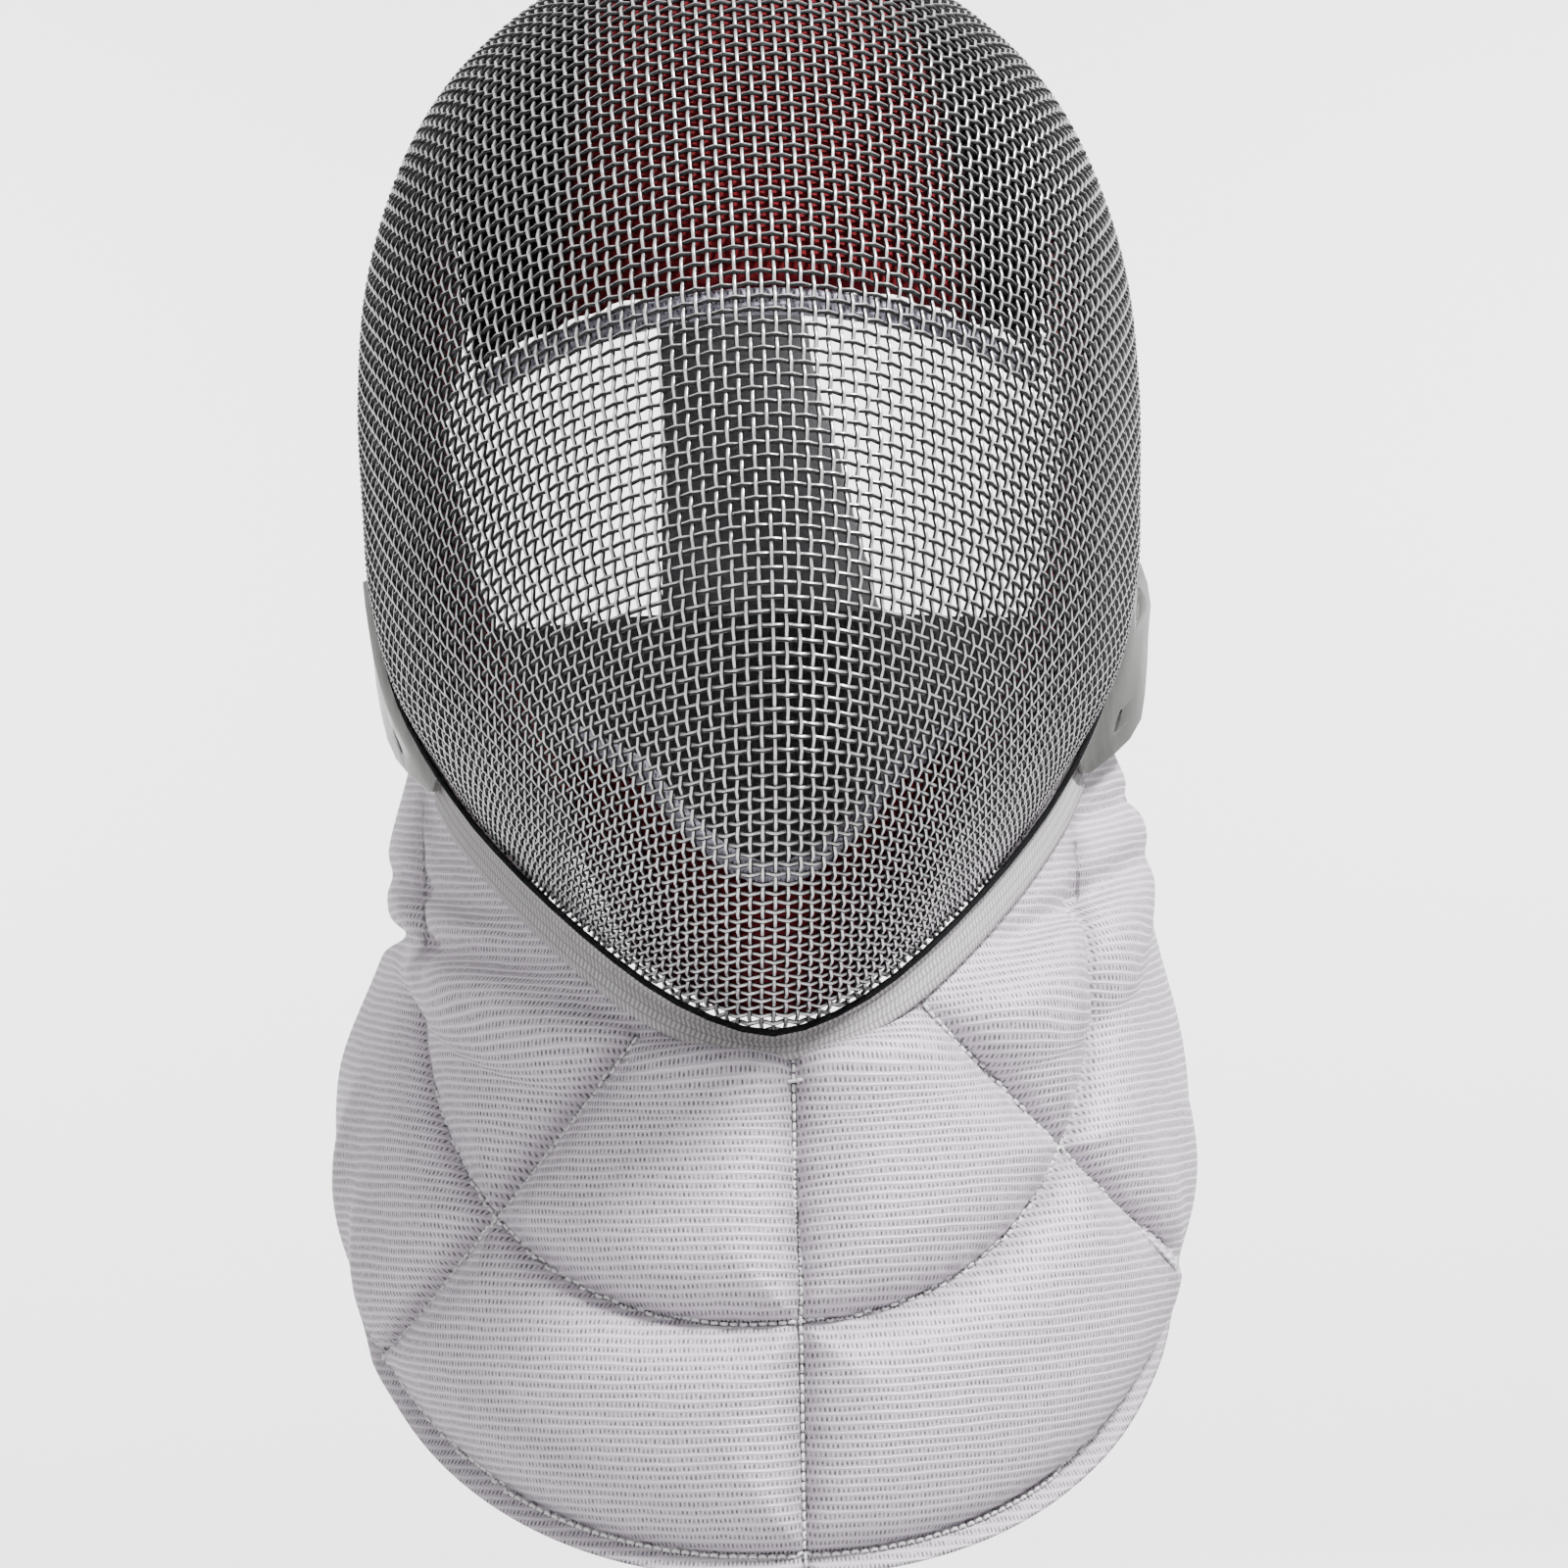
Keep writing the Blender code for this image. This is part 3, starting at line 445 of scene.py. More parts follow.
class Sketch:
    """Adds and links nodes in one tree."""

    def __init__(self, tree: bpy.types.NodeTree) -> None:
        """Work in a tree."""
        self.tree = tree

    def add(self, kind: str, **settings: object) -> bpy.types.Node:
        """Add a node; settings name its properties, or its inputs by name with a value or a socket."""
        node = self.tree.nodes.new(kind)
        for name, value in settings.items():
            title = name.replace("_", " ").title()
            if title in node.inputs:
                self.feed(node.inputs[title], value)
            else:
                setattr(node, name, value)
        return node

    def feed(self, socket: Socket, value: object) -> None:
        """Link a socket to an input, or set the input's value."""
        if isinstance(value, Socket):
            self.tree.links.new(value, socket)
        else:
            socket.default_value = value

    def shader(self, values: dict[str, object]) -> None:
        """Feed inputs of the material's main shader by name."""
        node = self.tree.nodes["Principled BSDF"]
        for name, value in values.items():
            self.feed(node.inputs[name], value)

    def bump(self, high: Socket, strength: float, distance: float) -> None:
        """Feed a height to the main shader's normal."""
        node = self.add("ShaderNodeBump", strength=strength, distance=distance, height=high)
        self.shader({"Normal": node.outputs[0]})

    def flat(self) -> Socket:
        """Return the piece's own flat cloth places."""
        return self.add("ShaderNodeUVMap", uv_map="flat").outputs[0]

    def place(self) -> Socket:
        """Return places in the mask's frame."""
        return self.add("ShaderNodeTexCoord").outputs["Object"]

    def stored(self, name: str) -> Socket:
        """Return a value that is stored in the piece's vertices."""
        return self.add("ShaderNodeAttribute", attribute_name=name).outputs["Fac"]

    def math(self, operation: str, first: object, second: object = 0.0) -> Socket:
        """Return an operation on one or two values."""
        node = self.add("ShaderNodeMath", operation=operation)
        self.feed(node.inputs[0], first)
        self.feed(node.inputs[1], second)
        return node.outputs[0]

    def plus(self, first: object, second: object) -> Socket:
        """Return a sum."""
        return self.math("ADD", first, second)

    def minus(self, first: object, second: object) -> Socket:
        """Return a difference."""
        return self.math("SUBTRACT", first, second)

    def times(self, first: object, second: object) -> Socket:
        """Return a product."""
        return self.math("MULTIPLY", first, second)

    def over(self, first: object, second: object) -> Socket:
        """Return a quotient."""
        return self.math("DIVIDE", first, second)

    def mix(self, share: object, first: object, second: object) -> Socket:
        """Return a mix of two colours."""
        node = self.add("ShaderNodeMix", data_type="RGBA")
        for place, value in ((0, share), (6, first), (7, second)):
            self.feed(node.inputs[place], value)
        return node.outputs[2]

    def span(self, value: object, low: float, high: float, to_low: float = 0.0,
             to_high: float = 1.0) -> Socket:
        """Return a value moved smoothly from one range to another."""
        node = self.add("ShaderNodeMapRange", interpolation_type="SMOOTHSTEP")
        for place, number in enumerate((value, low, high, to_low, to_high)):
            self.feed(node.inputs[place], number)
        return node.outputs[0]

    def noise(self, vector: object, scale: float, detail: float = 2.0,
              stretch: tuple = (1.0, 1.0, 1.0)) -> Socket:
        """Return a noise value, drawn out along an axis by its stretch."""
        place = self.add("ShaderNodeMapping", scale=stretch, vector=vector)
        node = self.add("ShaderNodeTexNoise", scale=scale, detail=detail, vector=place.outputs[0])
        return node.outputs["Fac"]


@dataclass(frozen=True)
class Effect:
    """A node group that several materials share: places and named numbers in, values out."""

    name: str
    numbers: tuple = ()

    def draw(self, sketch: Sketch, given: dict[str, Socket]) -> dict[str, Socket]:
        """Draw the group's nodes and return its values; each kind of effect has its own way."""
        raise NotImplementedError

    def group(self) -> bpy.types.NodeTree:
        """Return the node group, made once."""
        found = bpy.data.node_groups.get(self.name)
        if found:
            return found
        tree = bpy.data.node_groups.new(self.name, "ShaderNodeTree")
        tree.interface.new_socket("Vector", in_out="INPUT", socket_type="NodeSocketVector")
        for name in self.numbers:
            tree.interface.new_socket(name, in_out="INPUT", socket_type="NodeSocketFloat")
        start = tree.nodes.new("NodeGroupInput")
        values = self.draw(Sketch(tree), {socket.name: socket for socket in start.outputs})
        for name in values:
            tree.interface.new_socket(name, in_out="OUTPUT", socket_type="NodeSocketFloat")
        end = tree.nodes.new("NodeGroupOutput")
        for name, value in values.items():
            tree.links.new(value, end.inputs[name])
        return tree

    def use(self, sketch: Sketch, **values: object) -> dict[str, Socket]:
        """Place the group in a material and return its outputs by name."""
        node = sketch.tree.nodes.new("ShaderNodeGroup")
        node.node_tree = self.group()
        for name, value in values.items():
            sketch.feed(node.inputs[name.replace("_", " ").title()], value)
        return {socket.name: socket for socket in node.outputs}


@dataclass(frozen=True)
class RowWeave(Effect):
    """Cloth with raised thread rows and a line of small holes between them.

    Places across a row are parts of its pitch from its middle.
    """

    numbers: tuple = ("Row Pitch", "Dot Pitch", "Wander")
    thread_edge: tuple = (0.33, 0.46)
    hole_edge: tuple = (0.14, 0.34)
    hole_length: tuple = (-0.35, 0.6)
    stagger: float = 0.37
    thread_rise: float = 0.8
    hole_depth: float = 0.9
    fuzz_rise: float = 0.35

    def draw(self, sketch: Sketch, given: dict[str, Socket]) -> dict[str, Socket]:
        """Draw ridges across V and holes along U, both a little uneven."""
        flat = given["Vector"]
        parts = sketch.add("ShaderNodeSeparateXYZ", vector=flat)
        wander = sketch.minus(sketch.noise(flat, 55.0, 3.0, (1.0, 2.5, 1.0)), 0.5)
        row = sketch.plus(parts.outputs[1], sketch.times(wander, given["Wander"]))
        row = sketch.over(row, given["Row Pitch"])
        ridge = sketch.math("ABSOLUTE", sketch.minus(sketch.math("FRACT", row), 0.5))
        thread = sketch.span(ridge, *self.thread_edge)
        shift = sketch.math("FRACT", sketch.times(sketch.math("FLOOR", row), self.stagger))
        column = sketch.over(parts.outputs[0], given["Dot Pitch"])
        column = sketch.plus(column, sketch.times(shift, 0.9))
        beat = sketch.math("COSINE", sketch.times(column, 2.0 * math.pi))
        dots = sketch.times(sketch.span(beat, *self.hole_length),
                            sketch.span(ridge, *self.hole_edge, 1.0, 0.0))
        holes = sketch.times(dots, sketch.span(sketch.noise(flat, 900.0, 1.0), 0.35, 0.6, 0.45, 1.0))
        high = sketch.minus(sketch.times(thread, self.thread_rise),
                            sketch.times(holes, self.hole_depth))
        high = sketch.plus(high, sketch.times(sketch.noise(flat, 2600.0), self.fuzz_rise))
        return {"Thread": thread, "Holes": holes, "Height": high}


@dataclass(frozen=True)
class RibWeave(Effect):
    """Narrow webbing: slanted ribs across its length in several columns."""

    numbers: tuple = ("Rib Pitch", "Column Pitch", "Lean")
    fuzz_rise: float = 0.4
    groove_depth: float = 0.5
    gap_share: float = 0.8

    def draw(self, sketch: Sketch, given: dict[str, Socket]) -> dict[str, Socket]:
        """Draw ribs along U that lean the other way in each column of V."""
        flat = given["Vector"]
        parts = sketch.add("ShaderNodeSeparateXYZ", vector=flat)
        within = sketch.math("PINGPONG", sketch.over(parts.outputs[1], given["Column Pitch"]), 1.0)
        rib = sketch.plus(sketch.over(parts.outputs[0], given["Rib Pitch"]),
                          sketch.times(within, given["Lean"]))
        rise = sketch.span(sketch.math("SINE", sketch.times(rib, 2.0 * math.pi)), -0.8, 0.6)
        groove = sketch.span(sketch.math("ABSOLUTE", sketch.minus(within, 0.5)), 0.36, 0.5)
        high = sketch.plus(rise, sketch.times(sketch.noise(flat, 2200.0), self.fuzz_rise))
        high = sketch.minus(high, sketch.times(groove, self.groove_depth))
        gaps = sketch.times(sketch.minus(1.0, rise), self.gap_share)
        return {"Height": high, "Gaps": sketch.math("MAXIMUM", gaps, groove)}


class Mottle(Effect):
    """Slow uneven tone, with finer grain on top."""

    def draw(self, sketch: Sketch, given: dict[str, Socket]) -> dict[str, Socket]:
        """Draw broad clouds and fine grain."""
        clouds = sketch.noise(given["Vector"], 22.0, 3.0)
        grain = sketch.noise(given["Vector"], 700.0)
        both = sketch.plus(sketch.times(clouds, 0.7), sketch.times(grain, 0.3))
        spread = sketch.span(both, 0.35, 0.65)
        low = sketch.minus(1.0, given["Amount"])
        return {"Tone": sketch.plus(low, sketch.times(spread, given["Amount"])), "Grain": grain}


class BrushedLines(Effect):
    """Fine straight lines left on sheet steel by brushing."""

    def draw(self, sketch: Sketch, given: dict[str, Socket]) -> dict[str, Socket]:
        """Draw noise that is long along Z and short across it."""
        fine = sketch.noise(given["Vector"], 900.0, stretch=(1.0, 1.0, 0.03))
        broad = sketch.noise(given["Vector"], 160.0, stretch=(1.0, 1.0, 0.08))
        return {"Lines": sketch.plus(sketch.times(fine, 0.6), sketch.times(broad, 0.4))}


class EdgeWear(Effect):
    """Mask of the worn edges of a hard piece."""

    def draw(self, sketch: Sketch, given: dict[str, Socket]) -> dict[str, Socket]:
        """Compare the rounded normal with the true one and break the result up."""
        round_edge = sketch.add("ShaderNodeBevel", samples=4, radius=given["Width"])
        dot = sketch.add("ShaderNodeVectorMath", operation="DOT_PRODUCT")
        sketch.feed(dot.inputs[0], round_edge.outputs[0])
        sketch.feed(dot.inputs[1], sketch.add("ShaderNodeNewGeometry").outputs["Normal"])
        chips = sketch.span(sketch.noise(given["Vector"], 400.0), 0.35, 0.6)
        return {"Mask": sketch.times(sketch.span(dot.outputs["Value"], 0.98, 0.80), chips)}


ROW_WEAVE = RowWeave("row_weave")
RIB_WEAVE = RibWeave("rib_weave")
MOTTLE = Mottle("mottle", ("Amount",))
BRUSHED = BrushedLines("brushed_lines")
EDGE_WEAR = EdgeWear("edge_wear", ("Width",))


# Finishes


@dataclass(frozen=True)
class Finish:
    """A named material; each kind of finish draws its own nodes."""

    name: str
    colour: tuple
    roughness: float = 0.6
    metallic: float = 0.0

    def material(self) -> bpy.types.Material:
        """Return the material, made once."""
        found = bpy.data.materials.get(self.name)
        if found:
            return found
        made = bpy.data.materials.new(self.name)
        made.use_nodes = True
        sketch = Sketch(made.node_tree)
        sketch.shader({"Base Color": self.shade(1.0), "Roughness": self.roughness,
                       "Metallic": self.metallic})
        self.dress(sketch)
        return made

    def put_on(self, piece: Piece) -> None:
        """Add the finish to a piece's material slots."""
        piece.data.materials.append(self.material())

    def dress(self, sketch: Sketch) -> None:
        """Draw the finish's own detail."""
        raise NotImplementedError

    def shade(self, factor: float) -> tuple:
        """Return the colour made darker or lighter by a factor."""
        return (*(min(part * factor, 1.0) for part in self.colour), 1.0)

    def mottled(self, sketch: Sketch, place: Socket, amount: float, low: float, high: float) -> Socket:
        """Return the colour, uneven between a darker and a lighter shade."""
        tone = MOTTLE.use(sketch, vector=place, amount=amount)["Tone"]
        return sketch.mix(tone, self.shade(low), self.shade(high))


@dataclass(frozen=True)
class SilverCloth(Finish):
    """Conductive silver cloth with thread rows."""

    row_pitch: float = 0.00205
    dot_pitch: float = 0.00100
    wander: float = 0.0014
    thread_share: float = 0.6
    hole_share: float = 0.95

    def dress(self, sketch: Sketch) -> None:
        """Draw the weave and its dark holes."""
        flat = sketch.flat()
        weave = ROW_WEAVE.use(sketch, vector=flat, row_pitch=self.row_pitch, dot_pitch=self.dot_pitch,
                              wander=self.wander)
        base = self.mottled(sketch, flat, 0.2, 0.74, 0.96)
        base = sketch.mix(sketch.times(weave["Thread"], self.thread_share), base, self.shade(1.3))
        base = sketch.mix(sketch.times(weave["Holes"], self.hole_share), base, self.shade(0.12))
        # Quilted cloth adds painted seam shade here; plain cloth keeps its colour.
        sketch.shader({"Base Color": self.seam_shade(sketch, base)})
        sketch.bump(weave["Height"], 0.5, 0.0005)

    def seam_shade(self, sketch: Sketch, base: Socket) -> Socket:
        """Leave the colour as it is: plain cloth has no seams to paint shade along."""
        return base


@dataclass(frozen=True)
class QuiltedCloth(SilverCloth):
    """Silver cloth that is pulled in along its seams and darkened there with painted shade.

    Reaches are in millimetres from the nearest seam.
    """

    # Painted shade: a dark line at each seam and a soft darkening beside it.
    line_reach: tuple = (0.1, 1.6)
    line_share: float = 0.85
    soft_reach: tuple = (0.0, 9.0)
    soft_share: float = 0.32

    def seam_shade(self, sketch: Sketch, base: Socket) -> Socket:
        """Paint shade on the cloth by its distance to the nearest seam: a narrow dark line and a
        broader soft darkening.
        """
        gap = sketch.stored("seam_gap")
        ragged = sketch.span(sketch.noise(sketch.flat(), 420.0), 0.3, 0.7, -0.4, 0.4)
        line = sketch.span(sketch.plus(gap, ragged), *self.line_reach, self.line_share, 0.0)
        soft = sketch.span(gap, *self.soft_reach, self.soft_share, 0.0)
        return sketch.mix(sketch.math("MAXIMUM", line, soft), base, self.shade(0.13))


@dataclass(frozen=True)
class RibbedTape(Finish):
    """Ribbed woven tape."""

    rib_pitch: float = 0.0013
    column_pitch: float = 0.0017
    lean: float = 0.4
    gap_share: float = 0.75

    def dress(self, sketch: Sketch) -> None:
        """Draw ribs and the dark gaps between them."""
        flat = sketch.flat()
        weave = RIB_WEAVE.use(sketch, vector=flat, rib_pitch=self.rib_pitch,
                              column_pitch=self.column_pitch, lean=self.lean)
        base = self.mottled(sketch, flat, 0.2, 0.85, 1.1)
        base = sketch.mix(sketch.times(weave["Gaps"], self.gap_share), base, self.shade(0.30))
        sketch.shader({"Base Color": base})
        sketch.bump(weave["Height"], 0.6, 0.0004)


class BrushedCloth(Finish):
    """Soft lining cloth with a short nap."""

    def dress(self, sketch: Sketch) -> None:
        """Draw an uneven tone and a fine nap."""
        place = sketch.place()
        base = self.panelled(sketch, self.mottled(sketch, place, 0.35, 0.6, 1.15))
        sketch.shader({"Base Color": base, "Specular IOR Level": 0.15})
        sketch.bump(sketch.noise(place, 1800.0, 1.0), 0.5, 0.0004)

    def panelled(self, sketch: Sketch, base: Socket) -> Socket:
        """Leave the colour as it is: plain lining has one panel."""
        return base


class PanelCloth(BrushedCloth):
    """Lining cloth that turns from its colour to black along the piece's panel value."""

    def panelled(self, sketch: Sketch, base: Socket) -> Socket:
        """Turn the colour to black across a narrow seam between the panels."""
        share = sketch.span(sketch.stored("panel"), 0.42, 0.54)
        return sketch.mix(share, base, (0.006, 0.006, 0.007, 1.0))


@dataclass(frozen=True)
class PaintedWire(Finish):
    """Steel wire, bare on the outer side and black paint on the inner side; where the stored outward
    value is turned up, as on the wefts, the black on the lower side is painted shade and the bright
    upper side a painted highlight.
    """

    # Black of the inner paint, also used as painted shade on the wefts' lower side.
    paint: tuple = (0.010, 0.010, 0.011, 1.0)
    bare_edge: tuple = (0.90, 1.04)
    paint_roughness: float = 0.6
    bare_metallic: float = 0.75

    def dress(self, sketch: Sketch) -> None:
        """Divide bare steel from black along the piece's outward value, a little ragged; the black is
        real paint on the inner side and painted shade on the wefts' lower side.
        """
        tone = MOTTLE.use(sketch, vector=sketch.place(), amount=0.35)
        ragged = sketch.plus(sketch.stored("outward"), sketch.times(tone["Grain"], 0.5))
        bare = sketch.span(ragged, *self.bare_edge)
        steel = sketch.mix(tone["Tone"], self.shade(0.7), self.shade(1.05))
        sketch.shader({
            "Base Color": sketch.mix(bare, self.paint, steel),
            "Metallic": sketch.times(bare, self.bare_metallic),
            "Roughness": sketch.span(bare, 0.0, 1.0, self.paint_roughness, self.roughness),
        })


class BrushedSteel(Finish):
    """Brushed sheet steel with worn edges."""

    def dress(self, sketch: Sketch) -> None:
        """Draw the brushing and brighten the edges."""
        place = sketch.place()
        lines = BRUSHED.use(sketch, vector=place)["Lines"]
        wear = EDGE_WEAR.use(sketch, vector=place, width=0.0005)["Mask"]
        base = sketch.mix(sketch.span(lines, 0.35, 0.65), self.shade(0.75), self.shade(1.08))
        base = sketch.mix(sketch.times(wear, 0.6), base, (0.9, 0.9, 0.9, 1.0))
        rough = sketch.span(lines, 0.3, 0.7, self.roughness - 0.08, self.roughness + 0.12)
        sketch.shader({"Base Color": base, "Roughness": rough})
        sketch.bump(lines, 0.12, 0.0002)


@dataclass(frozen=True)
class PlainTone(Finish):
    """Thread or paper: one colour with a slight uneven tone."""

    amount: float = 0.3
    low: float = 0.8
    high: float = 1.1

    def dress(self, sketch: Sketch) -> None:
        """Vary the tone from place to place."""
        base = self.mottled(sketch, sketch.place(), self.amount, self.low, self.high)
        sketch.shader({"Base Color": base})


STEEL_WIRE = PaintedWire("steel_wire_look", (0.88, 0.86, 0.87), 0.28, 1.0)
STEEL_PLATE = BrushedSteel("steel_plate_look", (0.24, 0.24, 0.23), 0.36, 0.9)
QUILTED_CLOTH = QuiltedCloth("quilted_cloth_look", (0.82, 0.735, 0.835), 0.5, 0.08)
SILVER_TAPE = RibbedTape("silver_tape_look", (0.62, 0.59, 0.60), 0.6, 0.05)
DARK_LINING = BrushedCloth("dark_lining_look", (0.02, 0.02, 0.024), 0.9)
RED_LINING = BrushedCloth("red_lining_look", (0.12, 0.007, 0.011), 0.9)
GREY_LINING = BrushedCloth("grey_lining_look", (0.09, 0.09, 0.095), 0.85)
BLACK_TRIM = BrushedCloth("black_trim_look", (0.006, 0.006, 0.007), 0.7)
BLACK_WEBBING = RibbedTape("black_webbing_look", (0.012, 0.012, 0.013), 0.8)
PANEL_LINING = PanelCloth("red_and_black_lining_look", (0.13, 0.008, 0.012), 0.9)
BOUND_EDGE = SilverCloth("bound_edge_look", (0.52, 0.49, 0.60), 0.5, 0.1)
SEAM_THREAD = PlainTone("seam_thread_look", (0.93, 0.91, 0.95), 0.5)
PAPER = PlainTone("paper_look", (0.9, 0.9, 0.9), 0.9, amount=0.02, low=0.98, high=1.0)


# Woven wire


@dataclass
class WovenDome:
    """Woven steel wire cloth, pressed to the dome.

    The bare side of a wire is turned so many degrees from its side towards its outside. The wefts'
    bare side is turned past the outside towards the top, which makes their lower side black as painted
    shade and their upper side bright as a painted highlight.
    """

    warp_pitch: float = 3.0
    weft_pitch: float = 3.2
    wire_radius: float = 0.54
    crimp: float = 0.5
    depth: float = 1.0
    start_drop: float = 161.0
    weft_fall: float = 0.40
    warps: int = 95
    wefts_up: int = 120
    wefts_down: int = 62
    sides: int = 6
    margin: float = 0.5
    beyond: float = 75.0
    tries: int = 14
    longest_move: float = 1.5
    damping: float = 1e-7
    shortest_wire: int = 3
    bare_warps: float = 90.0
    # Turned up past the outside: painted highlight on the wefts' upper side and painted shade on their
    # lower side.
    lit_bare_wefts: float = 138.0

    def settle_point(self, guess: Array, rules: list) -> Array:
        """Move guesses until they are on the dome and keep two more rules.

        Args:
            guess: points in millimetres.
            rules: each gives how far points are off a rule, and the slope of that.

        Returns:
            The settled points.
        """
        spot = guess
        for _ in range(self.tries):
            values, slopes = zip(*(rule(spot) for rule in (self.on_dome, *rules)))
            jacobian = np.stack(slopes, -2) + self.damping * np.eye(3)
            move = np.linalg.solve(jacobian, np.stack(values, -1)[..., None])[..., 0]
            size = np.linalg.norm(move, axis=-1, keepdims=True)
            spot = spot - move * np.minimum(1.0, self.longest_move / np.maximum(size, TINY))
        return spot

    def on_dome(self, spot: Array) -> tuple[Array, Array]:
        """Rule: on the dome's outer face."""
        return DOME.excess(spot), DOME.gradient(spot)

    @staticmethod
    def away_from(start: Array, pitch: float) -> Callable:
        """Rule: one pitch away from a point."""
        def rule(spot: Array) -> tuple[Array, Array]:
            """Compare the squared distance with the squared pitch."""
            gap = spot - start
            return (gap * gap).sum(-1) - pitch * pitch, 2.0 * gap
        return rule

    @staticmethod
    def on_plane(point: Array, normal: Array) -> Callable:
        """Rule: on a plane."""
        def rule(spot: Array) -> tuple[Array, Array]:
            """Measure along the plane's normal."""
            return (spot - point) @ normal, np.broadcast_to(normal, spot.shape)
        return rule

    def walk(self, start: Array, heading: Array, plane: Array, pitch: float,
             count: int) -> list[Array]:
        """Step along the dome in a plane."""
        spots = [start]
        before = start - heading * pitch
        for _ in range(count):
            guess = 2.0 * spots[-1] - before
            before = spots[-1]
            spots.append(self.settle_point(guess, [self.away_from(before, pitch),
                                                   self.on_plane(start, plane)]))
        return spots[1:]

    def net(self) -> Array:
        """Return the crossing points of the right half: warps by wefts by 3."""
        height = CROWN_RISE - self.start_drop
        low, high = -DOME.outside, 0.0
        for _ in range(HALVINGS):
            y = 0.5 * (low + high)
            inside = DOME.excess(np.array([0.0, y, height])) < 0.0
            low, high = (low, y) if inside else (y, high)
        middle = np.array([0.0, y, height])
        sagittal = np.array([1.0, 0.0, 0.0])
        tilted = unit(np.array([0.0, self.weft_fall, 1.0]))
        rows = self.wefts_up + self.wefts_down + 1
        grid = np.full((self.warps + 1, rows, 3), np.nan)
        first = self.wefts_down
        up = np.array([0.0, 0.0, 1.0])
        grid[0, first] = middle
        grid[0, first + 1:] = self.walk(middle, up, sagittal, self.weft_pitch, self.wefts_up)
        grid[0, :first] = self.walk(middle, -up, sagittal, self.weft_pitch, self.wefts_down)[::-1]
        grid[1:, first] = self.walk(middle, sagittal, tilted, self.warp_pitch, self.warps)
        for turn, count in ((1, self.wefts_up), (-1, self.wefts_down)):
            for total in range(2, self.warps + count + 1):
                i = np.arange(max(1, total - count), min(self.warps, total - 1) + 1)
                row = first + turn * (total - i)
                left, below = grid[i - 1, row], grid[i, row - turn]
                guess = left + below - grid[i - 1, row - turn]
                known = np.isfinite(guess).all(-1)
                if not known.any():
                    continue
                spot = self.settle_point(guess[known], [self.away_from(left[known], self.warp_pitch),
                                                        self.away_from(below[known], self.weft_pitch)])
                spot[~RIM.inside(spot, -self.beyond)] = np.nan
                grid[i[known], row[known]] = spot
        return grid

    def crimped(self, grid: Array) -> tuple[Array, Array]:
        """Return the whole net at mid depth with its normals, mirrored to the left half."""
        whole = np.concatenate([grid[:0:-1] * np.array([-1.0, 1.0, 1.0]), grid])
        normals = DOME.normals(whole)
        return whole - normals * self.depth, normals

    def lines(self, spots: Array, normals: Array,
              over: Array) -> Iterator[tuple[Array, Array]]:
        """Yield each wire inside the rim as samples at and between its crossings."""
        for line, normal, sign in zip(spots, normals, over):
            keep = np.isfinite(line).all(-1) & RIM.inside(np.nan_to_num(line), self.margin)
            edges = np.flatnonzero(np.diff(np.concatenate([[0], keep.astype(int), [0]])))
            for start, stop in zip(edges[::2], edges[1::2]):
                if stop - start < self.shortest_wire:
                    continue
                part, out = line[start:stop], normal[start:stop]
                raised = part + out * (self.crimp * sign[start:stop])[:, None]
                between = 0.5 * (part[1:] + part[:-1])
                bulge = np.zeros_like(between)
                bulge[1:-1] = (part[1:-2] + part[2:-1] - part[:-3] - part[3:]) / 16.0
                path = np.empty((2 * len(part) - 1, 3))
                path[::2], path[1::2] = raised, between + bulge
                across = np.empty_like(path)
                across[::2], across[1::2] = out, unit(out[1:] + out[:-1])
                yield path, across

    def build(self) -> list[Piece]:
        """Build the wires as four pieces and hide the plain dome."""
        spots, normals = self.crimped(self.net())
        count, rows = spots.shape[:2]
        i, j = np.meshgrid(np.arange(count), np.arange(rows), indexing="ij")
        over = np.where((i + j) % 2 == 0, 1.0, -1.0)
        warps = list(self.lines(spots, normals, over))
        wefts = list(self.lines(spots.swapaxes(0, 1), normals.swapaxes(0, 1), -over.T))
        half = len(warps) // 2
        split = len(wefts) // 2
        turns = 2.0 * math.pi * np.arange(self.sides) / self.sides
        made = []
        for name, lines, bare in (("wire_warps_left", warps[:half], self.bare_warps),
                                  ("wire_warps_right", warps[half:], self.bare_warps),
                                  ("wire_wefts_lower", wefts[:split], self.lit_bare_wefts),
                                  ("wire_wefts_upper", wefts[split:], self.lit_bare_wefts)):
            points, quads, caps = tube_arrays(*zip(*lines), self.wire_radius, self.sides)
            piece = mesh_object(name, points, quads, caps)
            # The bare turn of the wefts is tilted up, so this value paints shade on their lower side
            # and a highlight on their upper side.
            outward = np.cos(turns - math.radians(bare))
            store_value(piece, "outward", np.tile(outward, len(points) // self.sides))
            STEEL_WIRE.put_on(piece)
            made.append(settle(piece, "steel_wire", "wire_dome"))
        return made


# Bib


@dataclass(frozen=True)
class BibLine:
    """One line round the bib, from the front centre to its rear edge at the side."""

    half_width: float
    front: float
    side_back: float
    front_drop: float
    side_drop: float
    rise_power: float
    right_swell: float

    def points(self, angles: Array) -> Array:
        """Return the line's points at angles round the neck."""
        turn = np.radians(angles)
        rise = np.maximum(1.0 - np.cos(turn), 0.0) ** self.rise_power
        drop = self.front_drop + (self.side_drop - self.front_drop) * rise
        back = self.side_back + (self.front - self.side_back) * np.cos(turn)
        swell = self.right_swell * np.maximum(np.sin(turn), 0.0) ** 2
        return np.stack([self.half_width * np.sin(turn) + swell, back, CROWN_RISE - drop], -1)


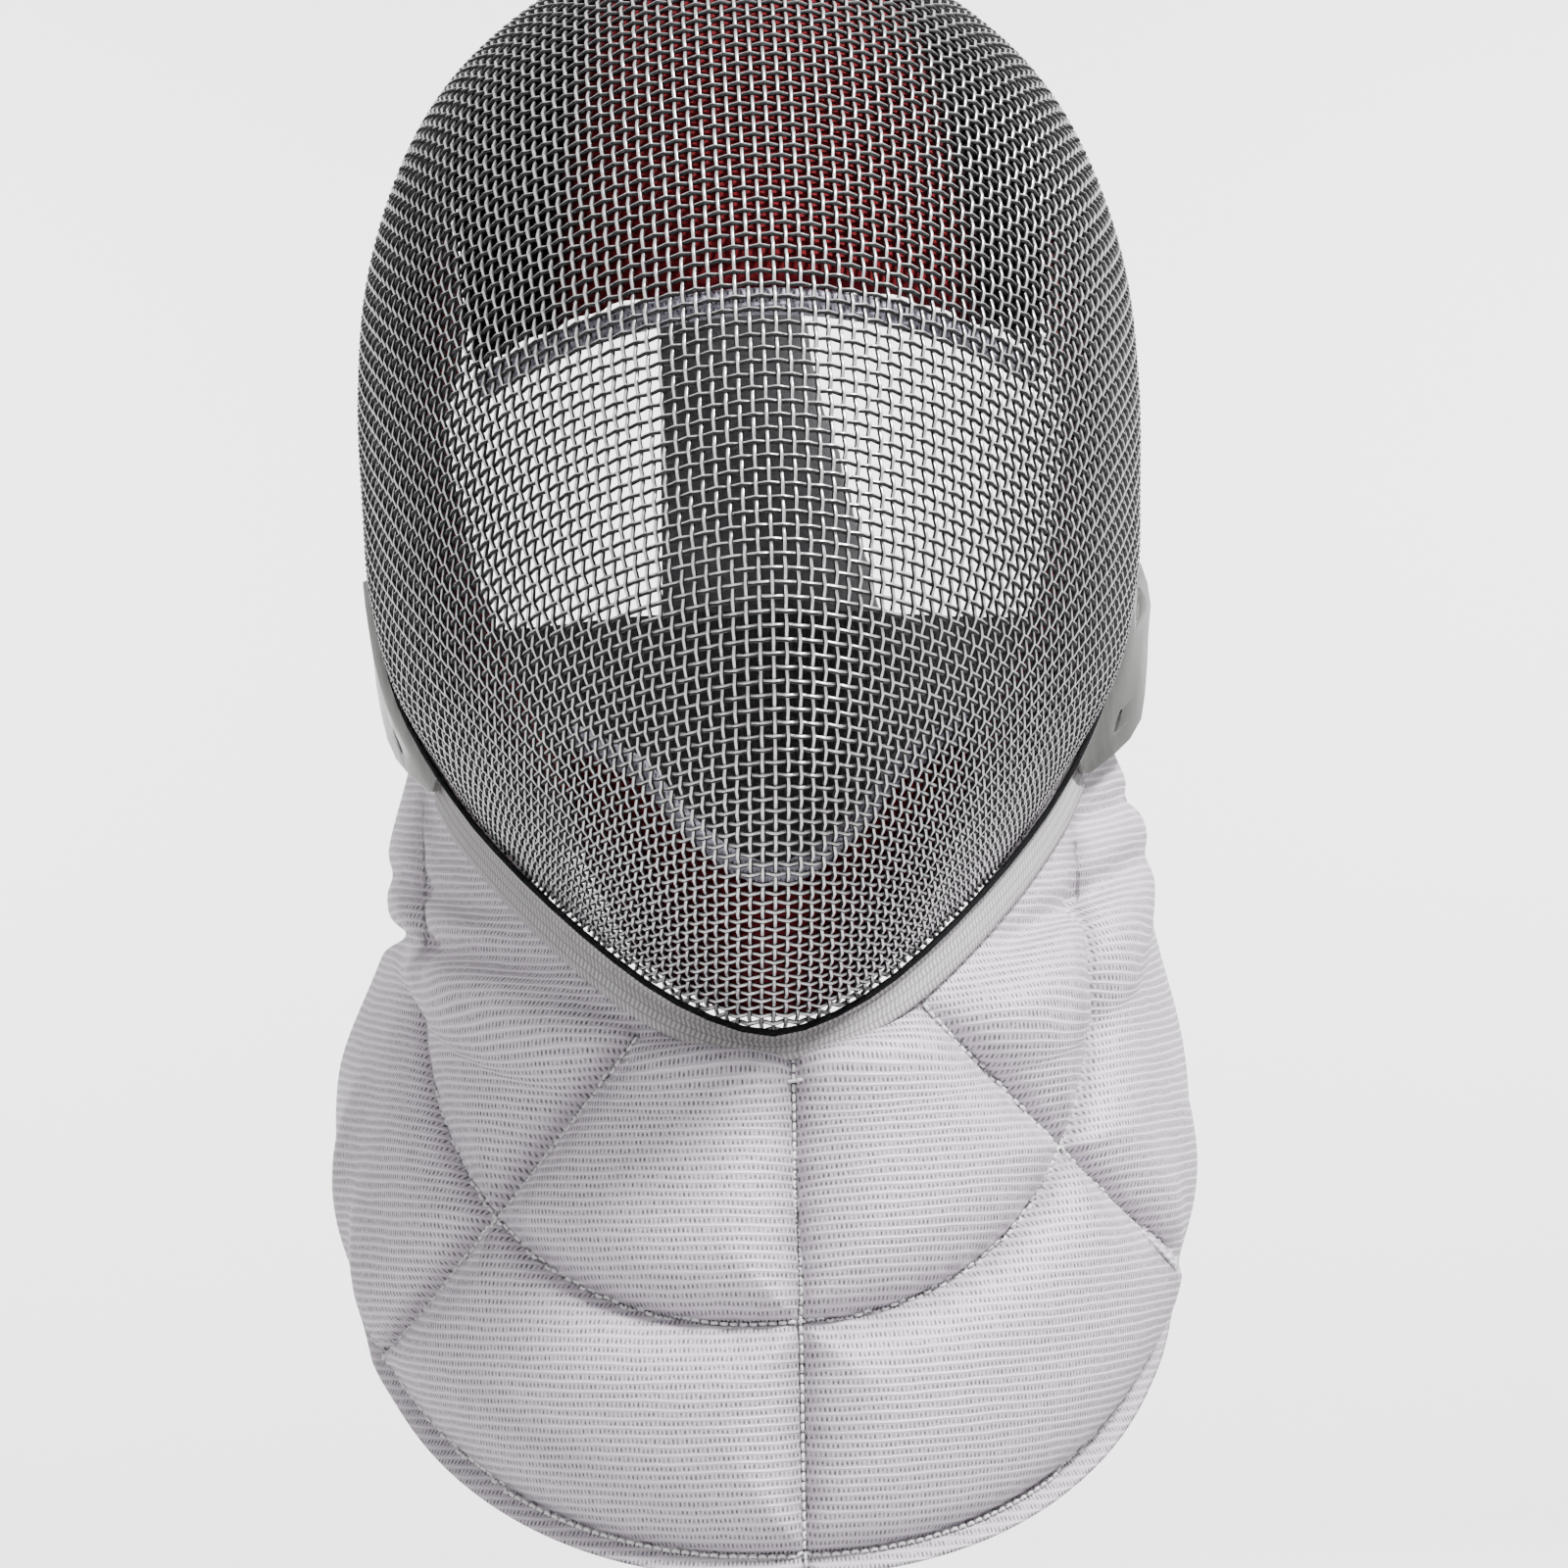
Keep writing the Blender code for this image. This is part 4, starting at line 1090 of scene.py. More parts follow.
@dataclass(frozen=True)
class SeamLine:
    """Straight quilting seam as seen from the front."""

    name: str
    top_x: float
    top_drop: float
    bottom_x: float
    bottom_drop: float

    def near(self, x: Array, drop: Array) -> tuple[Array, Array]:
        """Return how far places are from the seam and how far along it they are."""
        run = np.array([self.bottom_x - self.top_x, self.bottom_drop - self.top_drop])
        size = float(np.linalg.norm(run))
        run = run / size
        along = (x - self.top_x) * run[0] + (drop - self.top_drop) * run[1]
        kept = np.clip(along, 0.0, size)
        return np.hypot(x - self.top_x - kept * run[0], drop - self.top_drop - kept * run[1]), along

    def path(self, step: float) -> Array:
        """Return front-view places along the seam."""
        ends = np.array([[self.top_x, self.top_drop], [self.bottom_x, self.bottom_drop]])
        count = int(np.linalg.norm(ends[1] - ends[0]) / step)
        return ends[0] + (ends[1] - ends[0]) * np.linspace(0.0, 1.0, count)[:, None]


@dataclass(frozen=True)
class YokeLine:
    """Curved quilting seam across the chest as seen from the front."""

    name: str = "yoke"
    centre: float = -3.0
    half_width: float = 80.5
    top_drop: float = 250.0
    depth: float = 83.0
    power: float = 2.4

    def near(self, x: Array, drop: Array) -> tuple[Array, Array]:
        """Return how far places are from the seam and how far along it they are."""
        across = np.abs(x - self.centre) / self.half_width
        down = np.maximum(drop - self.top_drop, 0.0) / self.depth
        level = (np.minimum(across, 1.4) ** self.power + down ** self.power) ** (1.0 / self.power)
        along = np.arctan2(x - self.centre, drop - self.top_drop) * self.half_width
        return np.abs(level - 1.0) * min(self.half_width, self.depth), along

    def path(self, step: float) -> Array:
        """Return front-view places along the seam."""
        turn = np.linspace(0.04, math.pi - 0.04, 2000)
        share = 2.0 / self.power
        x = self.centre + self.half_width * np.sign(np.cos(turn)) * np.abs(np.cos(turn)) ** share
        drop = self.top_drop + self.depth * np.sin(turn) ** share
        line = np.stack([x, drop], -1)
        run = np.concatenate([[0], np.cumsum(np.linalg.norm(np.diff(line, axis=0), axis=1))])
        at = np.arange(0.0, run[-1], step)
        return np.stack([np.interp(at, run, line[:, k]) for k in (0, 1)], -1)


@dataclass(frozen=True)
class Fold:
    """Upright soft fold at the side of the bib."""

    angle: float
    width: float
    height: float
    top_drop: float
    bottom_drop: float

    def rise(self, angles: Array, drop: Array) -> Array:
        """Return how far the fold stands off at places."""
        side = np.exp(-(((angles[None, :] - self.angle) / self.width) ** 2))
        place = np.clip((drop - self.top_drop) / (self.bottom_drop - self.top_drop), 0.0, 1.0)
        return self.height * side * np.sin(math.pi * place) ** 2


@dataclass(frozen=True)
class Crease:
    """Deep crease as seen from the front, strongest in its middle."""

    first_x: float
    first_drop: float
    last_x: float
    last_drop: float
    depth: float
    width: float

    def dent(self, x: Array, drop: Array) -> Array:
        """Return how deep the crease is at places."""
        run = np.array([self.last_x - self.first_x, self.last_drop - self.first_drop])
        size = float(np.linalg.norm(run))
        along = ((x - self.first_x) * run[0] + (drop - self.first_drop) * run[1]) / size
        off = ((x - self.first_x) * run[1] - (drop - self.first_drop) * run[0]) / size
        ends = np.clip(along / size, 0.0, 1.0)
        return self.depth * np.exp(-((off / self.width) ** 2)) * np.sin(math.pi * ends) ** 0.7


@dataclass
class Bib:
    """Padded, quilted bib round the throat."""

    thick: float = 4.5
    columns: int = 300
    rows: int = 150
    top_gap: float = 1.2
    shares: tuple = (0.0, 0.08, 0.19, 0.28, 0.62, 1.0)
    waist_share: float = 0.4
    waist_pinch: float = 0.055
    puff_height: float = 9.6
    puff_reach: float = 22.0
    valley_depth: float = 1.3
    valley_width: float = 1.3
    pucker_height: float = 0.5
    pucker_reach: float = 3.5
    hem_inset: float = 5.0
    hem_pull: tuple = (0.7, 0.5)
    side_gap: float = 15.0
    side_facing: tuple = (0.25, 0.45)
    least_facing: float = 0.2
    side_angles: tuple = (45.0, 78.0)
    side_loss: float = 0.6
    least_wall: float = 2.0
    coarse_rows: int = 40
    lines: tuple = (
        BibLine(90.5, -58.5, 42.0, 276.0, 226.0, 0.95, 6.5),
        BibLine(90.0, -59.5, 42.0, 288.0, 242.0, 1.0, 6.5),
        BibLine(104.0, -67.0, 42.0, 332.0, 278.0, 1.1, 0.0),
        BibLine(105.0, -71.0, 40.0, 391.0, 312.0, 1.15, -2.0),
    )
    seams: tuple = (
        SeamLine("centre", 4.3, 268.0, 3.6, 396.0),
        SeamLine("left_diagonal", -32.0, 266.5, -96.0, 346.0),
        SeamLine("right_diagonal", 35.5, 261.0, 99.5, 331.0),
        YokeLine(),
    )
    creases: tuple = (
        Crease(-104.0, 241.0, -50.0, 252.0, 5.5, 3.6),
        Crease(-96.0, 226.0, -66.0, 238.0, 2.6, 3.0),
        Crease(54.0, 249.0, 100.0, 227.0, 5.5, 3.4),
        Crease(70.0, 222.0, 102.0, 212.0, 3.0, 3.0),
        Crease(-50.0, 256.0, -18.0, 271.0, 1.6, 2.6),
    )
    folds: tuple = (
        Fold(-64.0, 4.5, 3.4, 285.0, 362.0),
        Fold(-76.0, 4.0, 2.8, 265.0, 345.0),
        Fold(60.0, 5.0, 3.0, 295.0, 358.0),
        Fold(74.0, 4.5, 2.6, 270.0, 340.0),
    )

    def base(self, angles: Array, shares: Array) -> Array:
        """Return the smooth outer surface: share 0 at the dome's rim, 1 at the hem."""
        top = RIM.points(np.asarray(angles) / EAR_ANGLE * EAR)
        lines = [line.points(angles) for line in self.lines]
        waist = top + (lines[0] - top) * self.waist_share
        waist[..., 0] *= 1.0 - self.waist_pinch * (1.0 - np.cos(np.radians(angles)))
        knots = np.stack([top, waist, *lines])
        out = np.empty((*np.shape(shares), 3))
        for axis in range(3):
            columns = [smooth_read(self.shares, knots[:, k, axis], shares[:, k])
                       for k in range(len(angles))]
            out[..., axis] = np.stack(columns, 1)
        return out

    def on_cloth(self, gap: Array, facing: Array) -> Array:
        """Return distances on the cloth from those seen from the front; seams end at the sides."""
        return gap / facing + self.side_gap * (1.0 - soft_step(facing, *self.side_facing))

    def relief(self, angles: Array, to_hem: Array, shares: Array,
               base: Array, facing: Array) -> Array:
        """Return how far panels, seams, puckers and folds stand off the smooth bib.

        Args:
            angles: angles round the neck, one for each column.
            to_hem: distances to the hem along the cloth.
            shares: shares of the way from the dome's rim to the hem.
            base: points of the smooth bib.
            facing: how far the smooth bib is turned to the front, up to 1.

        Returns:
            Heights over the smooth bib.
        """
        x, drop = base[..., 0], CROWN_RISE - base[..., 2]
        beyond = to_hem - self.hem_inset
        nearest = np.where(beyond > 0.0, self.hem_pull[0] * beyond, -self.hem_pull[1] * beyond)
        pucker = np.zeros_like(x)
        for seam in self.seams:
            gap, along = seam.near(x, drop)
            gap = self.on_cloth(gap, facing)
            nearest = np.minimum(nearest, gap)
            beat = np.sin(along / 1.35 + 1.6 * np.sin(along / 7.3)) + 0.7 * np.sin(along / 2.3 + 2.0)
            pucker += beat * np.exp(-gap / self.pucker_reach) * (1.0 - np.exp(-((gap / 1.2) ** 2)))
        reach = np.clip(nearest / self.puff_reach, 0.0, 1.0)
        puff = self.puff_height * (1.0 - (1.0 - reach) ** 2.4) ** 0.85
        puff *= 1.0 - self.side_loss * soft_step(np.abs(angles), *self.side_angles)[None, :]
        puff -= self.valley_depth * np.exp(-((nearest / self.valley_width) ** 2))
        puff += self.pucker_height * pucker
        for fold in self.folds:
            puff += fold.rise(angles, drop)
        dents = sum(crease.dent(x, drop) for crease in self.creases)
        return puff * soft_step(shares, 0.07, 0.19) - dents * soft_step(shares, 0.03, 0.10)

    def grids(self) -> tuple[Array, Array, Array]:
        """Return the outer points, the inner points and the flat places of the bib."""
        angles = np.linspace(-90.0, 90.0, self.columns + 1)
        steps = np.linspace(0, 1, self.coarse_rows)[:, None]
        coarse = self.base(angles, np.repeat(steps, len(angles), 1))
        length = np.linalg.norm(np.diff(coarse, axis=0), axis=-1).sum(0)
        start = self.top_gap / length
        shares = start + (1.0 - start) * np.linspace(0.0, 1.0, self.rows + 1)[:, None]
        base = self.base(angles, shares)
        normals = self.grid_normals(base)
        step = np.linalg.norm(np.diff(base, axis=0), axis=-1)
        run = np.concatenate([np.zeros((1, base.shape[1])), np.cumsum(step, 0)])
        to_hem = run[-1] - run
        wide = np.linalg.norm(np.diff(base, axis=1), axis=-1)
        u = np.concatenate([np.zeros((base.shape[0], 1)), np.cumsum(wide, 1)], 1)
        u -= u[:, [self.columns // 2]]
        v = base[-1:, :, 2] + to_hem
        facing = np.maximum(np.abs(normals[..., 1]), self.least_facing)
        relief = self.relief(angles, to_hem, shares, base, facing)
        depth = np.minimum(-self.thick, relief - self.least_wall)
        outer, inner = (base + normals * lift[..., None] for lift in (relief, depth))
        return outer, inner, np.stack([u, v], -1)

    def seam_gaps(self, outer: Array, flat: Array) -> Array:
        """Return how far each outer corner is from the nearest seam."""
        hem = np.abs(flat[..., 1] - flat[-1:, :, 1] - self.hem_inset) + 0.5
        facing = np.maximum(np.abs(self.grid_normals(outer)[..., 1]), self.least_facing)
        x, drop = outer[..., 0], CROWN_RISE - outer[..., 2]
        gaps = [self.on_cloth(seam.near(x, drop)[0], facing) for seam in self.seams]
        return np.minimum.reduce([hem, *gaps]).ravel()

    @staticmethod
    def grid_normals(points: Array) -> Array:
        """Return the outward normals of a grid of points."""
        return unit(np.cross(np.gradient(points, axis=0), np.gradient(points, axis=1)))

    def build(self) -> Piece:
        """Build the bib and hide the plain one."""
        outer, inner, flat = self.grids()
        piece = slab_object("bib_cloth", outer, inner, flat)
        # Seam distances that the cloth's painted seam shade reads.
        store_value(piece, "seam_gap", np.tile(self.seam_gaps(outer, flat), 2))
        QUILTED_CLOTH.put_on(piece)
        DARK_LINING.put_on(piece)
        return settle(piece, "silver_cloth", "bib")


# Stitches


@dataclass(frozen=True)
class Stitching:
    """A row of stitches along a line of places on a piece."""

    name: str
    length: float = 1.35
    radius: float = 0.42
    lift: float = 0.6
    shares: tuple = (-0.5, -0.35, 0.0, 0.35, 0.5)
    arches: tuple = (-0.7, 0.2, 0.7, 0.2, -0.7)
    shortest: float = 0.5
    longest: float = 4.0

    def build(self, spots: Array, normals: Array) -> Piece:
        """Build one small thread arch between each pair of neighbouring places."""
        lines, outs = [], []
        share = np.array(self.shares)[:, None] * self.length
        high = np.array(self.arches)[:, None] * self.radius + self.lift
        for spot, after, out in zip(spots, spots[1:], normals):
            run = after - spot
            size = np.linalg.norm(run)
            if self.shortest <= size <= self.longest:
                lines.append(spot + 0.5 * run + run / size * share + out * high)
                outs.append(np.repeat(out[None], len(high), 0))
        piece = mesh_object(self.name, *tube_arrays(lines, outs, self.radius, 6))
        SEAM_THREAD.put_on(piece)
        return piece


class Surface:
    """Finds places on a finished piece."""

    def __init__(self, obj: Piece) -> None:
        """Read the piece's mesh, which is in metres in the mask's frame."""
        bm = bmesh.new()
        bm.from_mesh(obj.data)
        self.tree = BVHTree.FromBMesh(bm)
        bm.free()

    def from_front(self, x: float, drop: float) -> tuple[Array, Array] | None:
        """Return the first place met from the front, in millimetres, and its normal."""
        start = Vector((x * MM, -0.4, (CROWN_RISE - drop) * MM))
        spot, normal, _, _ = self.tree.ray_cast(start, Vector((0.0, 1.0, 0.0)))
        return None if spot is None else (np.array(spot) / MM, np.array(normal))

    def nearest(self, point: Array) -> tuple[Array, Array]:
        """Return the nearest place in millimetres and its normal."""
        spot, normal, _, _ = self.tree.find_nearest(Vector(point * MM))
        return np.array(spot) / MM, np.array(normal)


@dataclass
class BibStitches:
    """Rows of stitches in the bib's seams and along its hem."""

    pitch: float = 2.25
    collar_angles: tuple = (-20.0, 12.0)
    collar_share: float = 0.205
    collar_steps: int = 80
    seen: float = 0.36

    def build(self, bib: Bib, cloth: Piece) -> None:
        """Sew along each seam and the hem."""
        surface = Surface(cloth)
        for seam in bib.seams:
            found = [surface.from_front(x, drop) for x, drop in seam.path(self.pitch * 0.8)]
            found = [pair for pair in found if pair is not None and pair[1][1] < -self.seen]
            self.sew(f"stitches_{seam.name}", found)
        outer, _, _ = bib.grids()
        run = np.linalg.norm(np.diff(outer[::-1], axis=0), axis=-1).cumsum(0)
        row = np.argmax(run > bib.hem_inset, axis=0) + 1
        line = outer[::-1][row, np.arange(outer.shape[1])]
        self.sew("stitches_hem", [surface.nearest(point) for point in line])
        angles = np.linspace(*self.collar_angles, self.collar_steps)
        collar = bib.base(angles, np.full((1, len(angles)), self.collar_share))[0]
        self.sew("stitches_collar", [surface.nearest(point) for point in collar])

    def sew(self, name: str, found: list) -> None:
        """Space places evenly along a line and put a stitch at each."""
        spots = np.array([spot for spot, _ in found])
        normals = np.array([normal for _, normal in found])
        run = np.concatenate([[0], np.cumsum(np.linalg.norm(np.diff(spots, axis=0), axis=1))])
        at = np.arange(0.0, run[-1], self.pitch)
        spots = np.stack([np.interp(at, run, spots[:, k]) for k in range(3)], -1)
        normals = unit(np.stack([np.interp(at, run, normals[:, k]) for k in range(3)], -1))
        settle(Stitching(name).build(spots, normals), "silver_cloth")


# Edge pieces


@dataclass
class RimTape:
    """Ribbed tape that joins the dome's lower rim to the bib."""

    end: float = 4.333
    lap: float = 2.5
    reach: float = 7.5
    thick: float = 1.2
    gap: float = 0.4
    steps: int = 160
    columns: int = 10
    rises: tuple = (0.0, 0.5, 0.6, 0.9)
    first_share: float = 0.04
    least_spread: float = 0.45
    turn: float = 0.8
    nudge: float = 0.01
    edge_loss: float = 0.45

    def build(self, bib: Bib) -> Piece:
        """Build the tape as a curved band with flat places."""
        places = np.linspace(-self.end, self.end, self.steps + 1)
        points, off, outward = RIM.frames(places)
        on_dome = DOME.reach(points - off * self.lap - DOME.centre)
        angles = places / EAR * EAR_ANGLE
        first = bib.base(angles, np.full((1, len(places)), self.first_share))[0]
        down = first - points
        length = np.linalg.norm(down, axis=-1)
        along = np.cross(off, outward)
        spread = np.linalg.norm(np.cross(down, along), axis=-1) / length
        spread = np.maximum(spread, self.least_spread)
        spots, outs = [on_dome, points], [DOME.normals(on_dome), None]
        for reach in (0.5 * self.reach, self.reach):
            share = (self.first_share * reach / (spread * length))[None]
            spots.append(bib.base(angles, share)[0])
            left, right = (bib.base(angles + turn, share)[0] for turn in (-self.turn, self.turn))
            low = bib.base(angles, share + self.nudge)[0]
            high = bib.base(angles, np.maximum(share - self.nudge, 0))[0]
            outs.append(unit(np.cross(low - high, right - left)))
        outs[1] = unit(outward + outs[2])
        rises = np.array(self.rises)[:, None, None]
        knots = np.stack(spots) + np.stack(outs) * (self.gap + rises)
        across = np.linspace(0.0, len(spots) - 1.0, self.columns)
        inner = self.fair(knots, across)
        outs = unit(self.fair(np.stack(outs), across))
        round_off = self.thick * (1.0 - self.edge_loss * np.abs(across / 1.5 - 1.0) ** 8)
        outer = inner + outs * round_off[:, None, None]
        run = np.linalg.norm(np.diff(outer, axis=1), axis=-1).mean(0)
        u = np.concatenate([[0], np.cumsum(run)])
        v = across / across[-1] * (self.lap + self.reach)
        flat = np.stack(np.broadcast_arrays(u[None, :], v[:, None]), -1)
        piece = slab_object("rim_tape_cloth", outer, inner, flat)
        SILVER_TAPE.put_on(piece)
        SILVER_TAPE.put_on(piece)
        return settle(piece, "silver_tape", "rim_tape")

    @staticmethod
    def fair(rows: Array, across: Array) -> Array:
        """Read rows of points smoothly at places across the tape."""
        flat = smooth_read(np.arange(len(rows)), rows.reshape(len(rows), -1), across)
        return flat.reshape(len(across), *rows.shape[1:])


# Linings, strap and clips


def front_flat(obj: Piece) -> None:
    """Store flat places as seen from the front."""
    flat_from(obj, vertex_places(obj)[:, (0, 2)])


def flat_from(obj: Piece, flat: Array) -> None:
    """Store one flat place in metres for each vertex as the piece's cloth places."""
    mesh = obj.data
    corners = np.empty(len(mesh.loops), np.int32)
    mesh.loops.foreach_get("vertex_index", corners)
    layer = mesh.uv_layers.get("flat") or mesh.uv_layers.new(name="flat")
    layer.data.foreach_set("uv", flat[corners].astype(np.float32).ravel())


def vertex_places(obj: Piece) -> Array:
    """Return the piece's vertices in metres."""
    places = np.empty(len(obj.data.vertices) * 3, np.float32)
    obj.data.vertices.foreach_get("co", places)
    return places.reshape(-1, 3).astype(float)


def move_vertices(obj: Piece, places: Array) -> None:
    """Store the piece's vertices in metres."""
    obj.data.vertices.foreach_set("co", places.astype(np.float32).ravel())
    obj.data.update()


def apply_modifier(obj: Piece, kind: str, **settings: object) -> None:
    """Add a modifier to a piece, set it and apply it."""
    only_select(obj)
    bpy.ops.object.modifier_add(type=kind)
    modifier = obj.modifiers[-1]
    for name, value in settings.items():
        setattr(modifier, name, value)
    bpy.ops.object.modifier_apply(modifier=modifier.name)


@dataclass
class ClothRun:
    """Short cloth simulation that fills a piece without gravity."""

    pressure: float = 4.0
    growth: float = 0.02
    cap: float = 0.0008
    frames: int = 20
    stretch: float = 12.0
    bend: float = 0.4
    mass: float = 0.2

    def run(self, obj: Piece) -> None:
        """Simulate the piece and keep its movement under the cap."""
        start = vertex_places(obj)
        only_select(obj)
        bpy.ops.object.modifier_add(type="CLOTH")
        cloth = obj.modifiers[-1]
        for name, value in (("quality", 5), ("mass", self.mass), ("tension_stiffness", self.stretch),
                            ("compression_stiffness", self.stretch), ("bending_stiffness", self.bend),
                            ("use_pressure", True), ("uniform_pressure_force", self.pressure),
                            ("shrink_min", -self.growth)):
            setattr(cloth.settings, name, value)
        cloth.settings.effector_weights.gravity = 0.0
        cloth.collision_settings.use_collision = False
        cloth.point_cache.frame_end = self.frames
        for frame in range(1, self.frames + 1):
            bpy.context.scene.frame_set(frame)
        bpy.ops.object.modifier_apply(modifier=cloth.name)
        bpy.context.scene.frame_set(1)
        move = vertex_places(obj) - start
        size = np.linalg.norm(move, axis=1, keepdims=True)
        move_vertices(obj, start + move * np.minimum(1.0, self.cap / np.maximum(size, TINY)))


@dataclass
class Lining:
    """Padded lining piece made from its plain solid."""

    node: str
    slot: str
    finish: Finish
    voxel: float = 0.0035
    fill: float = 0.6
    swell: float = 0.0004
    cloth: ClothRun = field(default_factory=ClothRun)

    def build(self, nodes: dict) -> Piece:
        """Round, fill and paint a copy of the solid."""
        piece = copy_node(nodes[self.node], f"{self.node}_cloth")
        apply_modifier(piece, "REMESH", mode="VOXEL", voxel_size=self.voxel)
        apply_modifier(piece, "SMOOTH", factor=0.5, iterations=3)
        apply_modifier(piece, "DISPLACE", strength=self.swell, mid_level=0.0)
        self.cloth.run(piece)
        apply_modifier(piece, "SUBSURF", levels=1)
        shade_round(piece)
        front_flat(piece)
        self.mark_panels(piece, vertex_places(piece) / MM)
        self.finish.put_on(piece)
        return settle(piece, self.slot, self.node)

    def mark_panels(self, piece: Piece, places: Array) -> None:
        """Store no panels: a plain lining has one colour."""


@dataclass
class SidePanelLining(Lining):
    """Lining whose colour changes with the turn round the head.

    Its front edge is given as turns in degrees at lifts in degrees over the dome's centre.
    """

    lifts: tuple = (-39.0, -28.0, -12.0, 2.0, 12.0, 20.0)
    turns: tuple = (33.5, 36.0, 42.0, 48.0, 52.0, 36.0)
    width: float = 40.0

    def mark_panels(self, piece: Piece, places: Array) -> None:
        """Store how far behind the front edge each vertex is."""
        x, y, z = places.T
        turn = np.degrees(np.arctan2(np.abs(x), -y))
        lift = np.degrees(np.arctan2(z - DOME.centre[2], np.hypot(x, y)))
        edge = np.interp(lift, self.lifts, self.turns)
        store_value(piece, "panel", np.clip((turn - edge) / self.width, 0.0, 1.0))


@dataclass
class CrownLining(Lining):
    """Forehead lining with a coloured middle and dark sides."""

    depths: tuple = (10.0, 70.0)
    half_widths: tuple = (38.0, 47.0)
    middle: float = 2.0

    def mark_panels(self, piece: Piece, places: Array) -> None:
        """Store how far aside each vertex is."""
        wide = np.interp(-places[:, 2], self.depths, self.half_widths)
        aside = np.abs(places[:, 0] - self.middle) / wide * 0.5
        store_value(piece, "panel", np.clip(aside, 0.0, 1.0))


@dataclass
class TrimBand:
    """Bound edge of a lining, made from its plain solid."""

    node: str
    fill: float = 0.3

    def build(self, nodes: dict) -> Piece:
        """Round and paint a copy of the band."""
        piece = copy_node(nodes[self.node], f"{self.node}_cloth")
        apply_modifier(piece, "SUBSURF", levels=2)
        shade_round(piece)
        front_flat(piece)
        BOUND_EDGE.put_on(piece)
        return settle(piece, "silver_cloth", self.node)


@dataclass
class BackStrap:
    """Broad elastic strap behind the head."""

    width: float = 0.069
    length: float = 0.30
    axis_back: float = 0.020
    turn_radius: float = 0.098
    edge_angle: float = 50.0

    def build(self, nodes: dict) -> Piece:
        """Round the strap's edges and weave it."""
        piece = copy_node(nodes["back_strap"], "back_strap_webbing")
        apply_modifier(piece, "SUBSURF", levels=2, subdivision_type="SIMPLE")
        apply_modifier(piece, "BEVEL", width=0.0006, segments=2, limit_method="ANGLE",
                       angle_limit=math.radians(self.edge_angle))
        shade_round(piece, self.edge_angle)
        places = vertex_places(piece)
        turn = np.arctan2(places[:, 0], places[:, 1] - self.axis_back)
        flat_from(piece, np.stack([turn * self.turn_radius, places[:, 2]], -1))
        BLACK_WEBBING.put_on(piece)
        self.area(piece)
        return settle(piece, "black_webbing", "back_strap")

    @staticmethod
    def area(piece: Piece) -> float:
        """Return the strap's flat area in square metres: half of its surface."""
        return 0.5 * sum(face.area for face in piece.data.polygons)


@dataclass
class SideClip:
    """Sheet steel clip with rounded edges."""

    side: Side

    def build(self, nodes: dict) -> Piece:
        """Round the edges of a copy of the clip and brush it."""
        name = f"clip_{self.side.name.lower()}"
        piece = copy_node(nodes[name], f"{name}_steel")
        apply_modifier(piece, "BEVEL", width=0.0004, segments=2, limit_method="ANGLE",
                       angle_limit=math.radians(35.0))
        shade_round(piece, 30.0)
        STEEL_PLATE.put_on(piece)
        return settle(piece, "steel_plate", name)


# Stage


